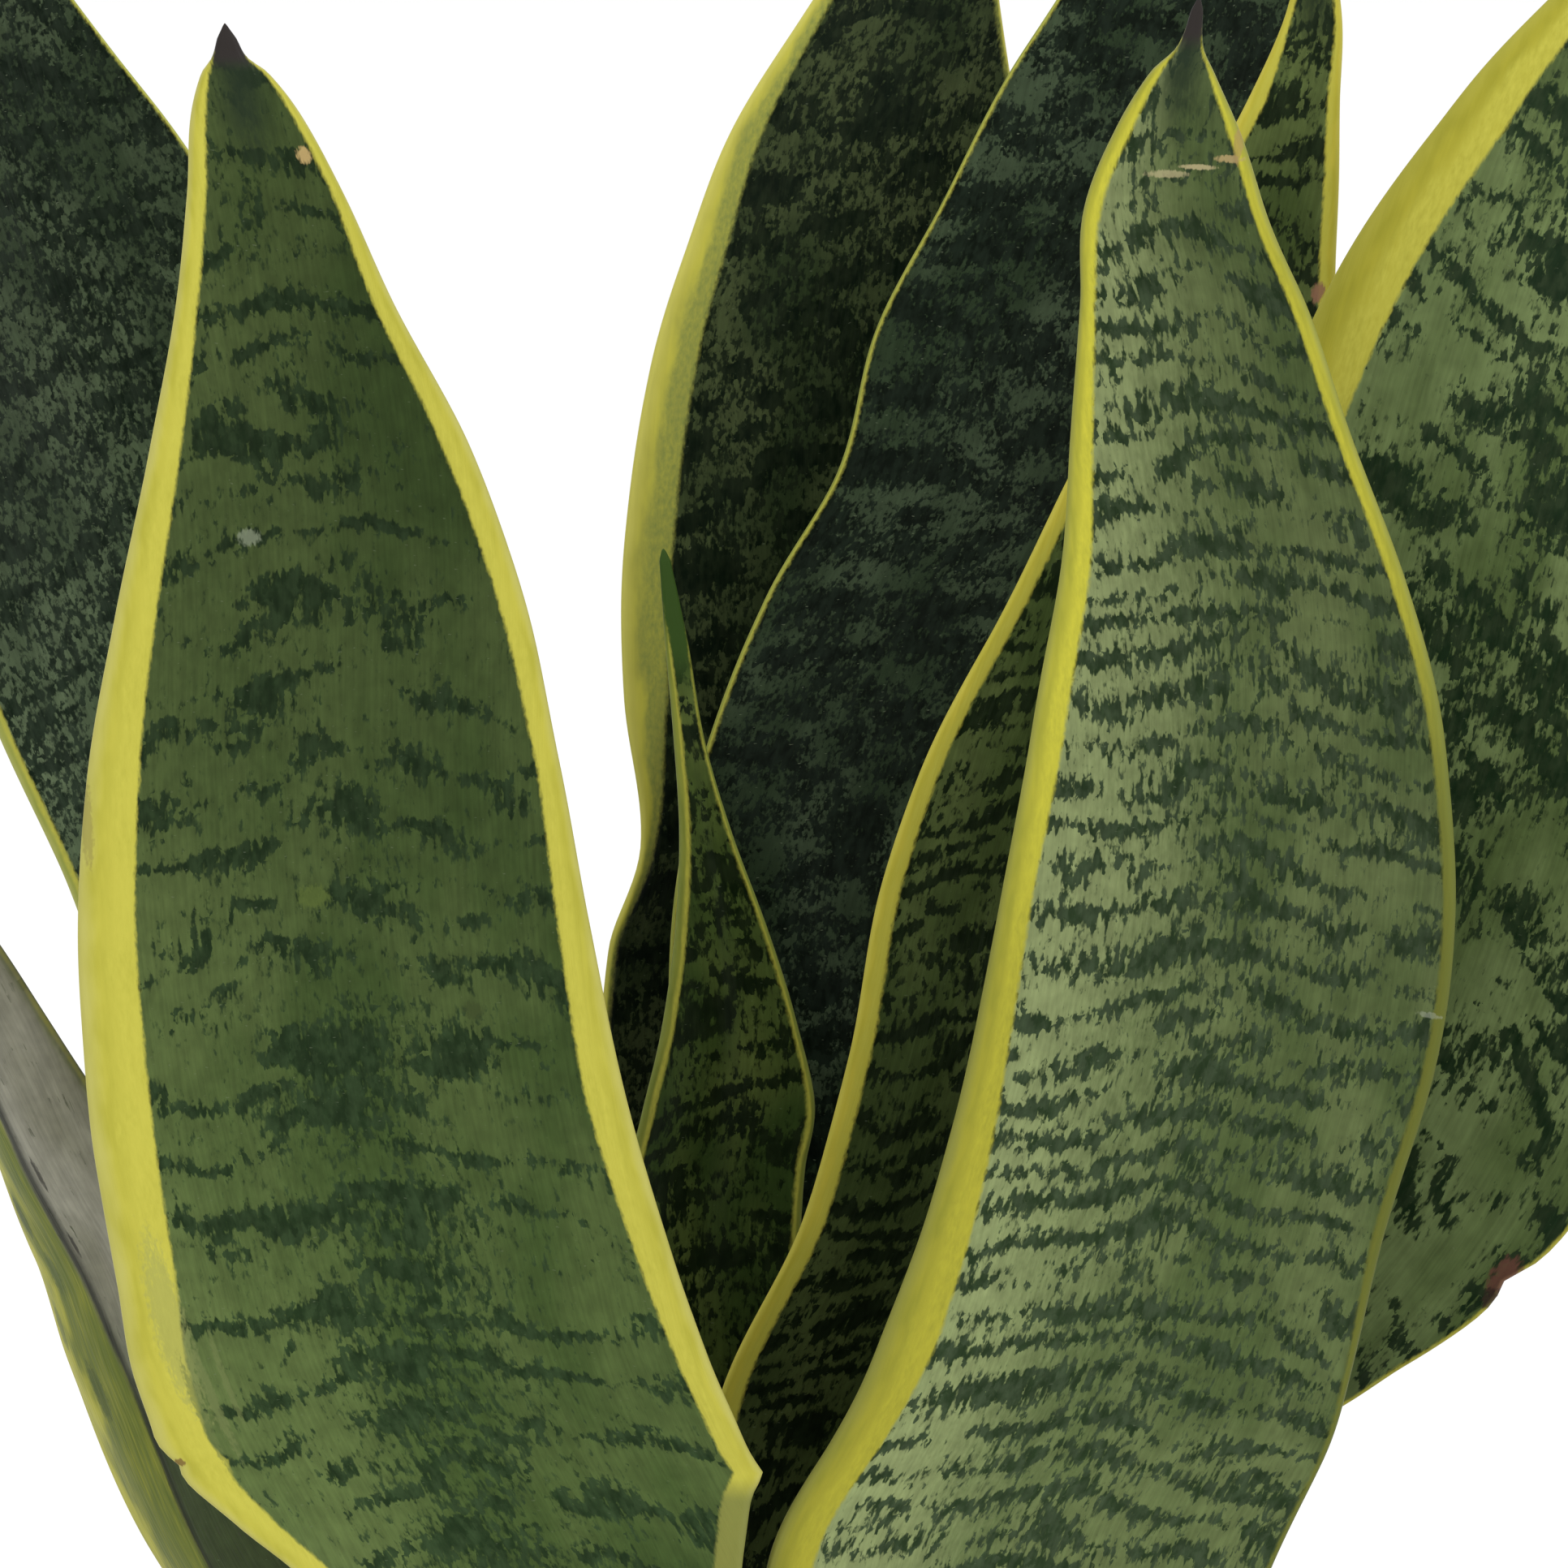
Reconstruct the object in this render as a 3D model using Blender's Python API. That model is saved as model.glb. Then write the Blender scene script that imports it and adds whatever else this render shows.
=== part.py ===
"""Potted snake plant: a clay pot, its soil, nine long leaves and four short scale leaves.

The origin is the middle of the pot's underside, +Z is up and the plant's front is towards -Y.
All lengths are in metres.
"""

import math

import bmesh
import bpy
from mathutils import Vector

MM = 0.001

# Pot
POT_HEIGHT = 120 * MM
POT_RIM_RADIUS = 69 * MM
POT_FOOT_RADIUS = 46 * MM
POT_WALL = 5 * MM
POT_FLOOR = 7 * MM
RIM_BAND_HEIGHT = 24 * MM
RIM_BAND_PROUD = 3.5 * MM
RIM_ROUNDING = 1.8 * MM
FOOT_CHAMFER = 1.2 * MM
DRAIN_RADIUS = 5 * MM
DRAIN_CIRCLE_RADIUS = 24 * MM
DRAIN_COUNT = 3
DRAIN_TURN = 0.25
DRAIN_SIDES = 20
POT_SIDES = 72

# Soil
HEADSPACE = 14 * MM
SOIL_EDGE_ROUNDING = 2 * MM

# Fits
CLEARANCE = 0.3 * MM
SOCKET_DEPTH = 12 * MM
ROOTED_RADIUS = 53 * MM

# Leaves
BLADE_THICKNESS = 3.2 * MM
MARGIN_THICKNESS = 1.5 * MM
SCALE_LEAF_THICKNESS = 2.4 * MM
YOUNG_LEAF_THICKNESS = 2.2 * MM
LEAF_SIZE = 1.0
LEVEL_ROOT = 40 * MM
LEAST_WIDTH = 1 * MM
CHANNEL_POWER = 1.8
RING_CROWDING = 0.93
SLOPE_REACH = 0.01
TWIST_SHARE = 0.5
THICKEST_SHARE = 0.55
MARGIN_SHARE = 0.4
LEAF_RINGS = 22
SCALE_LEAF_RINGS = 10
HALF_RING_POINTS = 7

# Edges sharper than this, in degrees, are not smoothed over.
SHARP_ANGLE = 35
LEAF_SHARP_ANGLE = 60

SOIL_TOP = POT_HEIGHT - HEADSPACE
POT_MOUTH_RADIUS = POT_RIM_RADIUS - RIM_BAND_PROUD - POT_WALL

# A pot too narrow for the full-size roots gets a smaller plant.
PLANT_SCALE = min(LEAF_SIZE, POT_MOUTH_RADIUS / ROOTED_RADIUS)

# Each leaf is a row of stations from the soil up to its tip, in millimetres:
# (height above the soil, x, y, width across the margins, depth of the channel).
# facing is the way the channel looks at the root and at the tip, in degrees from the front,
# positive towards +X. slant is 0 where the cross-sections lie level and 1 where they stand
# square to the leaf's own lean.
LEAVES = {
    "leaf_front_left": {
        "thickness": BLADE_THICKNESS,
        "facing": (0, 10),
        "slant": 0.0,
        "stations": (
            (0, -14, -30, 26, 8),
            (42, -21.5, -37, 36, 8),
            (79, -30.8, -42.5, 49.8, 8),
            (88.5, -35.2, -43.5, 60.5, 8),
            (95, -38.5, -44, 67, 8),
            (107, -43.5, -45, 67.5, 8),
            (118.5, -46.5, -45.5, 65.5, 8),
            (138.5, -50.7, -46.5, 63, 7),
            (159, -53.1, -47, 59.8, 6.5),
            (179, -54.1, -47.5, 54.8, 6),
            (198, -54, -48, 47.4, 5),
            (216, -55, -48.5, 37, 4),
            (233, -57.5, -49, 25, 3),
            (246, -59.5, -49.5, 17.5, 2),
            (254.2, -61.3, -50.1, 12.7, 1),
            (259.3, -62.5, -50.2, 7.6, 0.5),
            (261.1, -63, -50.5, 4, 0.2),
            (263, -63.2, -50.8, 2.4, 0.1),
            (265, -63.4, -51, 1, 0),
        ),
    },
    "leaf_front_right": {
        "thickness": BLADE_THICKNESS,
        "facing": (0, -12),
        "slant": 0.0,
        "stations": (
            (0, 16, -24, 26, 8),
            (40, 20.5, -31, 42, 8),
            (78, 28.2, -36.5, 59.5, 8),
            (95, 36, -37.5, 58.5, 8),
            (107, 40.5, -39, 56.4, 8),
            (122.5, 45.1, -39.5, 54.3, 8),
            (142.5, 50.4, -40, 54.7, 7.5),
            (161.5, 53.1, -41, 53.5, 7),
            (182, 54, -41, 48.5, 6),
            (200.5, 53, -41, 40.5, 5),
            (218, 50, -41, 32.5, 4),
            (232, 48, -41, 26.5, 3.5),
            (242.5, 45.5, -41.5, 21.5, 3),
            (252, 45.5, -41.5, 14.5, 1.5),
            (258.5, 45.8, -42.3, 7.5, 0.5),
            (261.5, 46.6, -42.5, 3, 0.2),
            (267.1, 47.5, -43, 1, 0),
        ),
    },
    "leaf_low_left": {
        "thickness": BLADE_THICKNESS,
        "facing": (140, 135),
        "slant": 1.0,
        "stations": (
            (0, -31, -16, 19, 6),
            (36, -47, -22, 25, 5),
            (76, -68.5, -27.5, 35, 3.5),
            (100.5, -77.7, -29.5, 35, 3),
            (113.5, -81.8, -31, 33, 3),
            (126.5, -88.2, -32.5, 25.5, 3),
            (142, -95, -34.5, 19, 2.5),
            (155.5, -102, -36, 16.5, 2),
            (170.5, -112, -38.5, 13, 1.5),
            (182, -121, -40.2, 6.9, 0.7),
            (188.1, -126.6, -41, 1.4, 0),
        ),
    },
    "leaf_right": {
        "thickness": BLADE_THICKNESS,
        "facing": (-50, -18),
        "slant": 1.0,
        "stations": (
            (0, 33, -6, 22, 7),
            (40, 32, -13, 24, 7),
            (71, 35, -16, 28.5, 7),
            (92, 39, -16.5, 33, 7),
            (113, 55.5, -17.5, 51, 8),
            (133, 68.5, -19, 65.5, 8),
            (155.5, 77.5, -19.5, 69.5, 8),
            (177.5, 84.5, -20.5, 72.5, 8),
            (200.5, 89.5, -21, 68.5, 7),
            (223, 95.4, -21, 61.2, 6),
            (243, 102.2, -21, 49.2, 5),
            (262.5, 109.4, -21, 34, 3.5),
            (279.5, 113.5, -21, 21, 2),
            (290.6, 115.2, -20.6, 7.3, 0.4),
            (296.7, 116, -21, 1.5, 0),
        ),
    },
    "leaf_behind_right": {
        "thickness": BLADE_THICKNESS,
        "facing": (0, -10),
        "slant": 0.0,
        "stations": (
            (0, 6, -2, 22, 6),
            (33, 4, 0, 24, 6),
            (65, 7.5, 1, 34, 6),
            (87, 14.5, 1.5, 44.5, 6),
            (110, 25, 1.5, 44.5, 6),
            (131, 31.5, 2, 45.5, 6),
            (151.5, 36, 3.5, 47, 6),
            (167.5, 40.5, 4, 45.5, 5.5),
            (185.5, 46.5, 5.5, 39, 4.5),
            (201.5, 51, 7, 32.5, 3.5),
            (219, 55.5, 8.5, 24.5, 2.5),
            (236, 59, 9.5, 18, 1.5),
            (248.9, 62.3, 10.7, 11.3, 0.8),
            (257.8, 64.4, 11.7, 7.5, 0.2),
            (265.5, 65, 12, 4.4, 0),
            (271.5, 65.6, 12.6, 1.4, 0),
        ),
    },
    "leaf_young": {
        "thickness": YOUNG_LEAF_THICKNESS,
        "facing": (0, 12),
        "slant": 0.0,
        "stations": (
            (0, -13, 6, 12, 3),
            (34, -12, 9, 15, 4),
            (65, -10, 12, 17.5, 4.5),
            (89, -10.5, 13, 21.5, 5),
            (114, -9.5, 14, 23, 5),
            (122.5, -8, 14, 22.5, 5),
            (133, -7.8, 14, 17.4, 4.5),
            (144.8, -8.6, 14.4, 11.8, 3.5),
            (156.8, -10.2, 14.7, 6.7, 2),
            (168.7, -12, 14.9, 3.9, 0.8),
            (180.6, -13.4, 15.2, 2.9, 0.3),
            (192.6, -15, 15.5, 1.2, 0),
        ),
    },
    "leaf_dark_middle": {
        "thickness": BLADE_THICKNESS,
        "facing": (-10, -14),
        "slant": 0.0,
        "stations": (
            (0, 14, 22, 24, 6),
            (30, 10, 25, 30, 7),
            (56, 8.5, 27, 35.5, 7),
            (82, 10.5, 28.5, 43, 7),
            (114, 13.5, 29, 53.5, 7),
            (140.5, 16, 30, 59, 7),
            (161.5, 20.5, 30.5, 60.5, 7),
            (182, 28, 31.5, 59.5, 6.5),
            (198, 35, 32.5, 55.5, 6),
            (216, 39.5, 34, 55, 5.5),
            (232.5, 45, 35.5, 49, 5),
            (248.5, 49, 38, 40.5, 4),
            (258, 51.5, 39, 33.5, 3),
            (273, 55.5, 41.5, 22, 1.8),
            (287.6, 58.3, 43.6, 8.3, 0.6),
            (297.4, 59.3, 45, 1.5, 0),
        ),
    },
    "leaf_tall_back": {
        "thickness": BLADE_THICKNESS,
        "facing": (5, 12),
        "slant": 0.0,
        "stations": (
            (0, -6, 34, 24, 6),
            (26, -1, 40, 27, 6),
            (51, -0.5, 42, 36.5, 6),
            (77, 1, 43.5, 44.5, 6),
            (109.5, 1.5, 45.5, 53, 6),
            (136.5, 3.5, 47, 55.5, 6),
            (150, 6, 47.5, 52.5, 6),
            (169, 5.5, 49, 55.5, 6),
            (189.5, 5.5, 50.5, 55, 5.5),
            (210, 6.5, 52.5, 50.5, 5),
            (225, 8.7, 54.5, 45.1, 4),
            (240.5, 11.1, 56.5, 37.3, 3),
            (255, 14.9, 59, 25.7, 1.8),
            (266.5, 18.2, 61, 15.5, 0.8),
            (276.4, 20.8, 63, 5.4, 0.2),
            (283.2, 21.9, 64, 1.5, 0),
        ),
    },
    "leaf_back_left": {
        "thickness": BLADE_THICKNESS,
        "facing": (30, 22),
        "slant": 1.0,
        "stations": (
            (0, -30, 22, 22, 6),
            (26, -41, 33, 27, 6),
            (56, -49, 43, 39.5, 6),
            (87, -52.7, 45.5, 48.9, 6),
            (119.5, -61.2, 48, 51.3, 6),
            (152, -70.7, 50.5, 52.3, 6),
            (176.5, -80.2, 52.5, 54.3, 6),
            (202, -89.2, 55, 53.3, 5.5),
            (223.5, -97, 57.5, 49, 5),
            (244, -104.1, 60.5, 36.5, 3.5),
            (260.5, -108.2, 63, 23, 2),
            (272, -109.7, 64.9, 8.1, 0.4),
            (278.7, -111.9, 66, 1.5, 0),
        ),
    },
    "scale_leaf_front": {
        "thickness": SCALE_LEAF_THICKNESS,
        "facing": (180, 180),
        "slant": 0.0,
        "stations": (
            (0, -13, -41, 12, 3),
            (14, -14, -47.5, 14, 3.5),
            (27, -16, -54, 12, 3),
            (36, -17.5, -59, 6.5, 1),
            (40, -18, -61, 1.4, 0),
        ),
    },
    "scale_leaf_left": {
        "thickness": SCALE_LEAF_THICKNESS,
        "facing": (100, 95),
        "slant": 0.0,
        "stations": (
            (0, -43, 3, 11, 3.5),
            (16, -48, 3, 14, 4),
            (32, -54, 3, 13, 3),
            (43, -59, 3, 7, 1),
            (48, -61, 3, 1.4, 0),
        ),
    },
    "scale_leaf_right": {
        "thickness": SCALE_LEAF_THICKNESS,
        "facing": (-115, -110),
        "slant": 0.0,
        "stations": (
            (0, 36, 16, 16, 4),
            (18, 41, 18, 18, 5),
            (36, 47, 21, 15, 3.5),
            (49, 52, 24, 7, 1),
            (54, 54, 25, 1.4, 0),
        ),
    },
    "scale_leaf_back": {
        "thickness": SCALE_LEAF_THICKNESS,
        "facing": (-12, -8),
        "slant": 0.0,
        "stations": (
            (0, 14, 39, 16, 4),
            (16, 16, 46, 18, 4.5),
            (31, 18, 52, 15, 3.5),
            (42, 19, 57, 7, 1),
            (46, 19.5, 59, 1.4, 0),
        ),
    },
}


def clear_scene():
    for old in list(bpy.data.objects):
        bpy.data.objects.remove(old, do_unlink=True)


def make_material(name, colour, roughness):
    material = bpy.data.materials.new(name)
    material.use_nodes = True
    shader = material.node_tree.nodes["Principled BSDF"]
    shader.inputs["Base Color"].default_value = (*colour, 1.0)
    shader.inputs["Roughness"].default_value = roughness
    shader.inputs["Metallic"].default_value = 0.0
    return material


def add_object(name, mesh_builder, material=None):
    mesh = bpy.data.meshes.new(name)
    bmesh.ops.recalc_face_normals(mesh_builder, faces=mesh_builder.faces)
    mesh_builder.to_mesh(mesh)
    mesh_builder.free()
    piece = bpy.data.objects.new(name, mesh)
    bpy.context.collection.objects.link(piece)
    if material:
        mesh.materials.append(material)
    return piece


def make_cutter(name, mesh_builder):
    cutter = add_object(name, mesh_builder)
    cutter.hide_render = True
    cutter.display_type = "WIRE"
    return cutter


def cut(piece, cutter):
    boolean = piece.modifiers.new("cut " + cutter.name, "BOOLEAN")
    boolean.operation = "DIFFERENCE"
    boolean.solver = "EXACT"
    boolean.object = cutter


def shade_round(piece, angle=SHARP_ANGLE):
    piece.data.shade_smooth()
    piece.data.set_sharp_from_angle(angle=math.radians(angle))


def turned(profile, sides):
    """A closed body turned about the Z axis from (radius, height) points on its outline."""
    build = bmesh.new()
    verts = [build.verts.new((radius, 0, height)) for radius, height in profile]
    edges = [build.edges.new((a, b)) for a, b in zip(verts, verts[1:])]
    bmesh.ops.spin(
        build,
        geom=verts + edges,
        axis=(0, 0, 1),
        cent=(0, 0, 0),
        angle=math.tau,
        steps=sides,
        use_merge=True,
    )
    bmesh.ops.remove_doubles(build, verts=build.verts, dist=1e-6)
    bmesh.ops.dissolve_degenerate(build, edges=build.edges, dist=1e-7)
    return build


def arc(centre, radius, start, end, steps):
    """Points on an arc in the outline, with its angles in degrees."""
    found = []
    for step in range(steps + 1):
        angle = math.radians(start + (end - start) * step / steps)
        found.append((centre[0] + radius * math.cos(angle), centre[1] + radius * math.sin(angle)))
    return found


def pot_outer_radius(height):
    """Radius of the pot's tapered body, without the rim band."""
    body_rim = POT_RIM_RADIUS - RIM_BAND_PROUD
    return POT_FOOT_RADIUS + (body_rim - POT_FOOT_RADIUS) * height / POT_HEIGHT


def pot_inner_radius(height):
    return pot_outer_radius(height) - POT_WALL


def make_pot(material):
    band_low = POT_HEIGHT - RIM_BAND_HEIGHT
    band_radius = pot_outer_radius(band_low) + RIM_BAND_PROUD
    inner_rim = pot_inner_radius(POT_HEIGHT)
    profile = [(0, POT_FLOOR), (pot_inner_radius(POT_FLOOR), POT_FLOOR)]
    profile += arc(
        (inner_rim + RIM_ROUNDING, POT_HEIGHT - RIM_ROUNDING), RIM_ROUNDING, 180, 90, 3
    )
    profile += arc(
        (POT_RIM_RADIUS - RIM_ROUNDING, POT_HEIGHT - RIM_ROUNDING), RIM_ROUNDING, 90, 0, 3
    )
    profile += arc((band_radius - RIM_ROUNDING, band_low + RIM_ROUNDING), RIM_ROUNDING, 0, -90, 3)
    profile += [
        (pot_outer_radius(band_low), band_low),
        (pot_outer_radius(FOOT_CHAMFER), FOOT_CHAMFER),
        (POT_FOOT_RADIUS - FOOT_CHAMFER, 0),
        (0, 0),
    ]
    pot = add_object("pot", turned(profile, POT_SIDES), material)
    for index in range(DRAIN_COUNT):
        angle = math.tau * (index + DRAIN_TURN) / DRAIN_COUNT
        build = bmesh.new()
        bmesh.ops.create_cone(
            build,
            cap_ends=True,
            segments=DRAIN_SIDES,
            radius1=DRAIN_RADIUS,
            radius2=DRAIN_RADIUS,
            depth=4 * POT_FLOOR,
        )
        place = Vector((math.cos(angle), math.sin(angle), 0)) * DRAIN_CIRCLE_RADIUS
        bmesh.ops.translate(build, verts=build.verts, vec=place)
        cut(pot, make_cutter(f"drain_cutter_{index + 1}", build))
    shade_round(pot)
    return pot


def make_soil(material):
    low = POT_FLOOR + CLEARANCE
    edge = pot_inner_radius(SOIL_TOP) - CLEARANCE
    profile = [(0, SOIL_TOP)]
    profile += arc((edge - SOIL_EDGE_ROUNDING, SOIL_TOP - SOIL_EDGE_ROUNDING), SOIL_EDGE_ROUNDING, 90, 0, 3)
    profile += [(pot_inner_radius(low) - CLEARANCE, low), (0, low)]
    soil = add_object("soil", turned(profile, POT_SIDES), material)
    shade_round(soil)
    return soil


def station_values(stations):
    """Knots along the leaf, by distance travelled, and the values that hold at each."""
    scale = MM * PLANT_SCALE
    rows = []
    for height, x, y, width, channel in stations:
        rows.append((height * scale, x * scale, y * scale, width * scale, channel * scale))
    knots = [0.0]
    for low, high in zip(rows, rows[1:]):
        step = math.dist(low[:3], high[:3])
        knots.append(knots[-1] + step)
    return knots, rows


def smooth_value(knots, values, at):
    """Cubic through the knots, with each slope taken from the neighbours."""
    last = len(knots) - 1
    index = 0
    while index < last - 1 and at > knots[index + 1]:
        index += 1
    slopes = []
    for knot in (index, index + 1):
        before, after = max(knot - 1, 0), min(knot + 1, last)
        slopes.append((values[after] - values[before]) / (knots[after] - knots[before]))
    gap = knots[index + 1] - knots[index]
    t = (at - knots[index]) / gap
    return (
        (2 * t**3 - 3 * t**2 + 1) * values[index]
        + (t**3 - 2 * t**2 + t) * gap * slopes[0]
        + (3 * t**2 - 2 * t**3) * values[index + 1]
        + (t**3 - t**2) * gap * slopes[1]
    )


def leaf_section(leaf, knots, rows, at):
    """Centre, side direction, facing direction, width and channel depth at one distance."""
    columns = list(zip(*rows))
    z, x, y, width, channel = (smooth_value(knots, column, at) for column in columns)
    centre = Vector((x, y, z + SOIL_TOP))
    reach = knots[-1] * SLOPE_REACH
    ahead, behind = min(at + reach, knots[-1]), max(at - reach, 0.0)
    along = Vector(
        tuple(
            smooth_value(knots, columns[axis], ahead) - smooth_value(knots, columns[axis], behind)
            for axis in (1, 2, 0)
        )
    ).normalized()
    root, tip = leaf["facing"]
    turn = min(1.0, at / (TWIST_SHARE * knots[-1]))
    facing = math.radians(root + (tip - root) * turn)
    level = Vector((math.cos(facing), math.sin(facing), 0.0))
    freed = min(1.0, at / LEVEL_ROOT)
    along = Vector((0, 0, 1)).lerp(along, freed)
    tilt = -leaf["slant"] * math.atan2(along.dot(level), along.z)
    side = level * math.cos(tilt) + Vector((0, 0, math.sin(tilt)))
    normal = side.cross(along).normalized()
    return centre, side, normal, max(width, LEAST_WIDTH), max(channel, 0.0)


def ring_points(section, thickness, grow):
    """The outline of one cross-section: the channel side from left to right, then the back."""
    centre, side, normal, width, channel = section
    half = width / 2 + grow
    thick = min(thickness, THICKEST_SHARE * width)
    edge = min(MARGIN_THICKNESS, MARGIN_SHARE * width)
    front, back = [], []
    for step in range(HALF_RING_POINTS):
        share = -1.0 + 2.0 * step / (HALF_RING_POINTS - 1)
        depth = edge + (thick - edge) * (1 - share * share) + 2 * grow
        middle = centre + side * (half * share) + normal * (channel * abs(share) ** CHANNEL_POWER)
        front.append(middle + normal * (depth / 2))
        back.append(middle - normal * (depth / 2))
    return front + back[::-1]


def lofted(rings):
    """A closed body through the rings, which all have the same number of points."""
    build = bmesh.new()
    loops = [[build.verts.new(point) for point in ring] for ring in rings]
    count = len(loops[0])
    for low, high in zip(loops, loops[1:]):
        for index in range(count):
            after = (index + 1) % count
            build.faces.new((low[index], low[after], high[after], high[index]))
    build.faces.new(loops[0][::-1])
    build.faces.new(loops[-1])
    return build


def leaf_distances(knots, count):
    """Ring places, a little closer together towards the tip, with one at the last station but one."""
    found = [knots[-1] * (index / (count - 1)) ** RING_CROWDING for index in range(count)]
    found[-2] = knots[-2]
    return found


def root_ring(leaf, knots, rows, drop, grow):
    """The first section again, straight below its place by the drop, or above it where that is negative."""
    centre, *section = leaf_section(leaf, knots, rows, 0.0)
    return ring_points((centre - Vector((0, 0, drop)), *section), leaf["thickness"], grow)


def make_leaf(name, leaf, material, count):
    knots, rows = station_values(leaf["stations"])
    rings = [root_ring(leaf, knots, rows, SOCKET_DEPTH, 0.0)]
    for at in leaf_distances(knots, count):
        rings.append(ring_points(leaf_section(leaf, knots, rows, at), leaf["thickness"], 0.0))
    piece = add_object(name, lofted(rings), material)
    shade_round(piece, LEAF_SHARP_ANGLE)
    return piece


def cut_socket(soil, name, leaf):
    knots, rows = station_values(leaf["stations"])
    drops = (SOCKET_DEPTH + CLEARANCE, -HEADSPACE)
    rings = [root_ring(leaf, knots, rows, drop, CLEARANCE) for drop in drops]
    cut(soil, make_cutter(name + "_socket", lofted(rings)))


def main():
    clear_scene()
    clay = make_material("fired_clay", (0.50, 0.21, 0.11), 0.85)
    mix = make_material("potting_mix", (0.045, 0.03, 0.02), 0.95)
    olive = make_material("leaf_olive", (0.06, 0.11, 0.03), 0.42)
    sage = make_material("leaf_sage", (0.16, 0.22, 0.10), 0.42)
    dark = make_material("leaf_dark", (0.02, 0.045, 0.025), 0.4)
    sheath = make_material("leaf_sheath", (0.25, 0.26, 0.10), 0.55)
    colours = {
        "leaf_front_left": olive,
        "leaf_front_right": sage,
        "leaf_young": olive,
        "leaf_right": olive,
    }
    make_pot(clay)
    soil = make_soil(mix)
    for name, leaf in LEAVES.items():
        short = name.startswith("scale_leaf")
        material = sheath if short else colours.get(name, dark)
        make_leaf(name, leaf, material, SCALE_LEAF_RINGS if short else LEAF_RINGS)
        cut_socket(soil, name, leaf)


main()
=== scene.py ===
import math
import bmesh
import bpy
import numpy as np
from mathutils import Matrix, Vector


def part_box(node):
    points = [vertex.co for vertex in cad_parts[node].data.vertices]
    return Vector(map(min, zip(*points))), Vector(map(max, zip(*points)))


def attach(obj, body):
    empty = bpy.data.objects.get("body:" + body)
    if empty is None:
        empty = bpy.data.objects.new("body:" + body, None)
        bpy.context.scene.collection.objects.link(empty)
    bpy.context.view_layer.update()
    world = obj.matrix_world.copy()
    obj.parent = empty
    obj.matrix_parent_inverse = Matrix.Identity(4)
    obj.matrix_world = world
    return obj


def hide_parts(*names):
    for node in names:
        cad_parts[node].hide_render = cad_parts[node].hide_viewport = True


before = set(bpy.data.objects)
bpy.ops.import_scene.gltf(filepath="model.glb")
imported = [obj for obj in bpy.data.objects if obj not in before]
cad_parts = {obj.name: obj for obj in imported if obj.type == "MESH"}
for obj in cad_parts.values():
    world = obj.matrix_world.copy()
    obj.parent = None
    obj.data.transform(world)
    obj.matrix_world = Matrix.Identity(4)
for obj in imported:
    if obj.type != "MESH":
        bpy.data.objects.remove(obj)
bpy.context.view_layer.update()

mm = 0.001
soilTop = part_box("soil")[1].z
print("frame loaded, soil surface at", round(soilTop * 1000, 1), "mm")


def addNode(tree, kind, **settings):
    node = tree.nodes.new(kind)
    for key, value in settings.items():
        setattr(node, key, value)
    return node


def plug(tree, value, socket):
    # a socket is linked, a colour gets its alpha, and anything else is set as it is
    if isinstance(value, bpy.types.NodeSocket):
        tree.links.new(value, socket)
    elif isinstance(value, (tuple, list)) and len(value) == 3 and len(socket.default_value) == 4:
        socket.default_value = (*value, 1.0)
    else:
        socket.default_value = value


def step(tree, kind, inputs, **settings):
    # a node with its inputs filled in, given by name or number, and its outputs to go on from
    node = addNode(tree, kind, **settings)
    for key, value in inputs.items():
        plug(tree, value, node.inputs[key])
    return node.outputs


def calc(tree, operation, *values):
    return step(tree, "ShaderNodeMath", dict(enumerate(values)), operation=operation)[0]


def total(tree, *values):
    found = values[0]
    for value in values[1:]:
        found = calc(tree, "ADD", found, value)
    return found


def times(tree, *values):
    found = values[0]
    for value in values[1:]:
        found = calc(tree, "MULTIPLY", found, value)
    return found


def ease(tree, value, low, high, toLow=0.0, toHigh=1.0):
    values = dict(enumerate((value, low, high, toLow, toHigh)))
    return step(tree, "ShaderNodeMapRange", values, interpolation_type="SMOOTHSTEP")[0]


def bell(tree, value, width):
    # 1 in the middle, falling smoothly to 0 over the width
    ratio = calc(tree, "DIVIDE", value, width)
    return calc(tree, "EXPONENT", times(tree, ratio, ratio, -1.0))


def combine(tree, x, y, z):
    return step(tree, "ShaderNodeCombineXYZ", {0: x, 1: y, 2: z})[0]


def tint(tree, factor, low, high, mode="MIX"):
    # inputs 6 and 7 are the two colours of the mix, and output 2 is the mixed one
    colours = {0: factor, 6: low, 7: high}
    return step(tree, "ShaderNodeMix", colours, data_type="RGBA", blend_type=mode)[2]


def shade(tree, colour, amount):
    return tint(tree, 1.0, colour, combine(tree, amount, amount, amount), "MULTIPLY")


def attribute(tree, name):
    return addNode(tree, "ShaderNodeAttribute", attribute_name=name).outputs["Fac"]


def noise(tree, vector, scale, detail, roughness, distortion=0.0, flat=False):
    values = {"Vector": vector, "Scale": scale, "Detail": detail, "Roughness": roughness}
    values["Distortion"] = distortion
    return step(tree, "ShaderNodeTexNoise", values, noise_dimensions="2D" if flat else "3D")[0]


def grain(tree, place, wide, long, seed, detail, roughness=0.55):
    # noise from -1 to 1, its spots so many millimetres wide across the leaf and long along it
    across, along = place
    x = calc(tree, "MULTIPLY_ADD", across, 1 / wide, seed * 3.1)
    y = calc(tree, "MULTIPLY_ADD", along, 1 / long, seed * 1.7)
    spots = noise(tree, combine(tree, x, y, 0.0), 1.0, detail, roughness, flat=True)
    return calc(tree, "MULTIPLY_ADD", spots, 2.0, -1.0)


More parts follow.
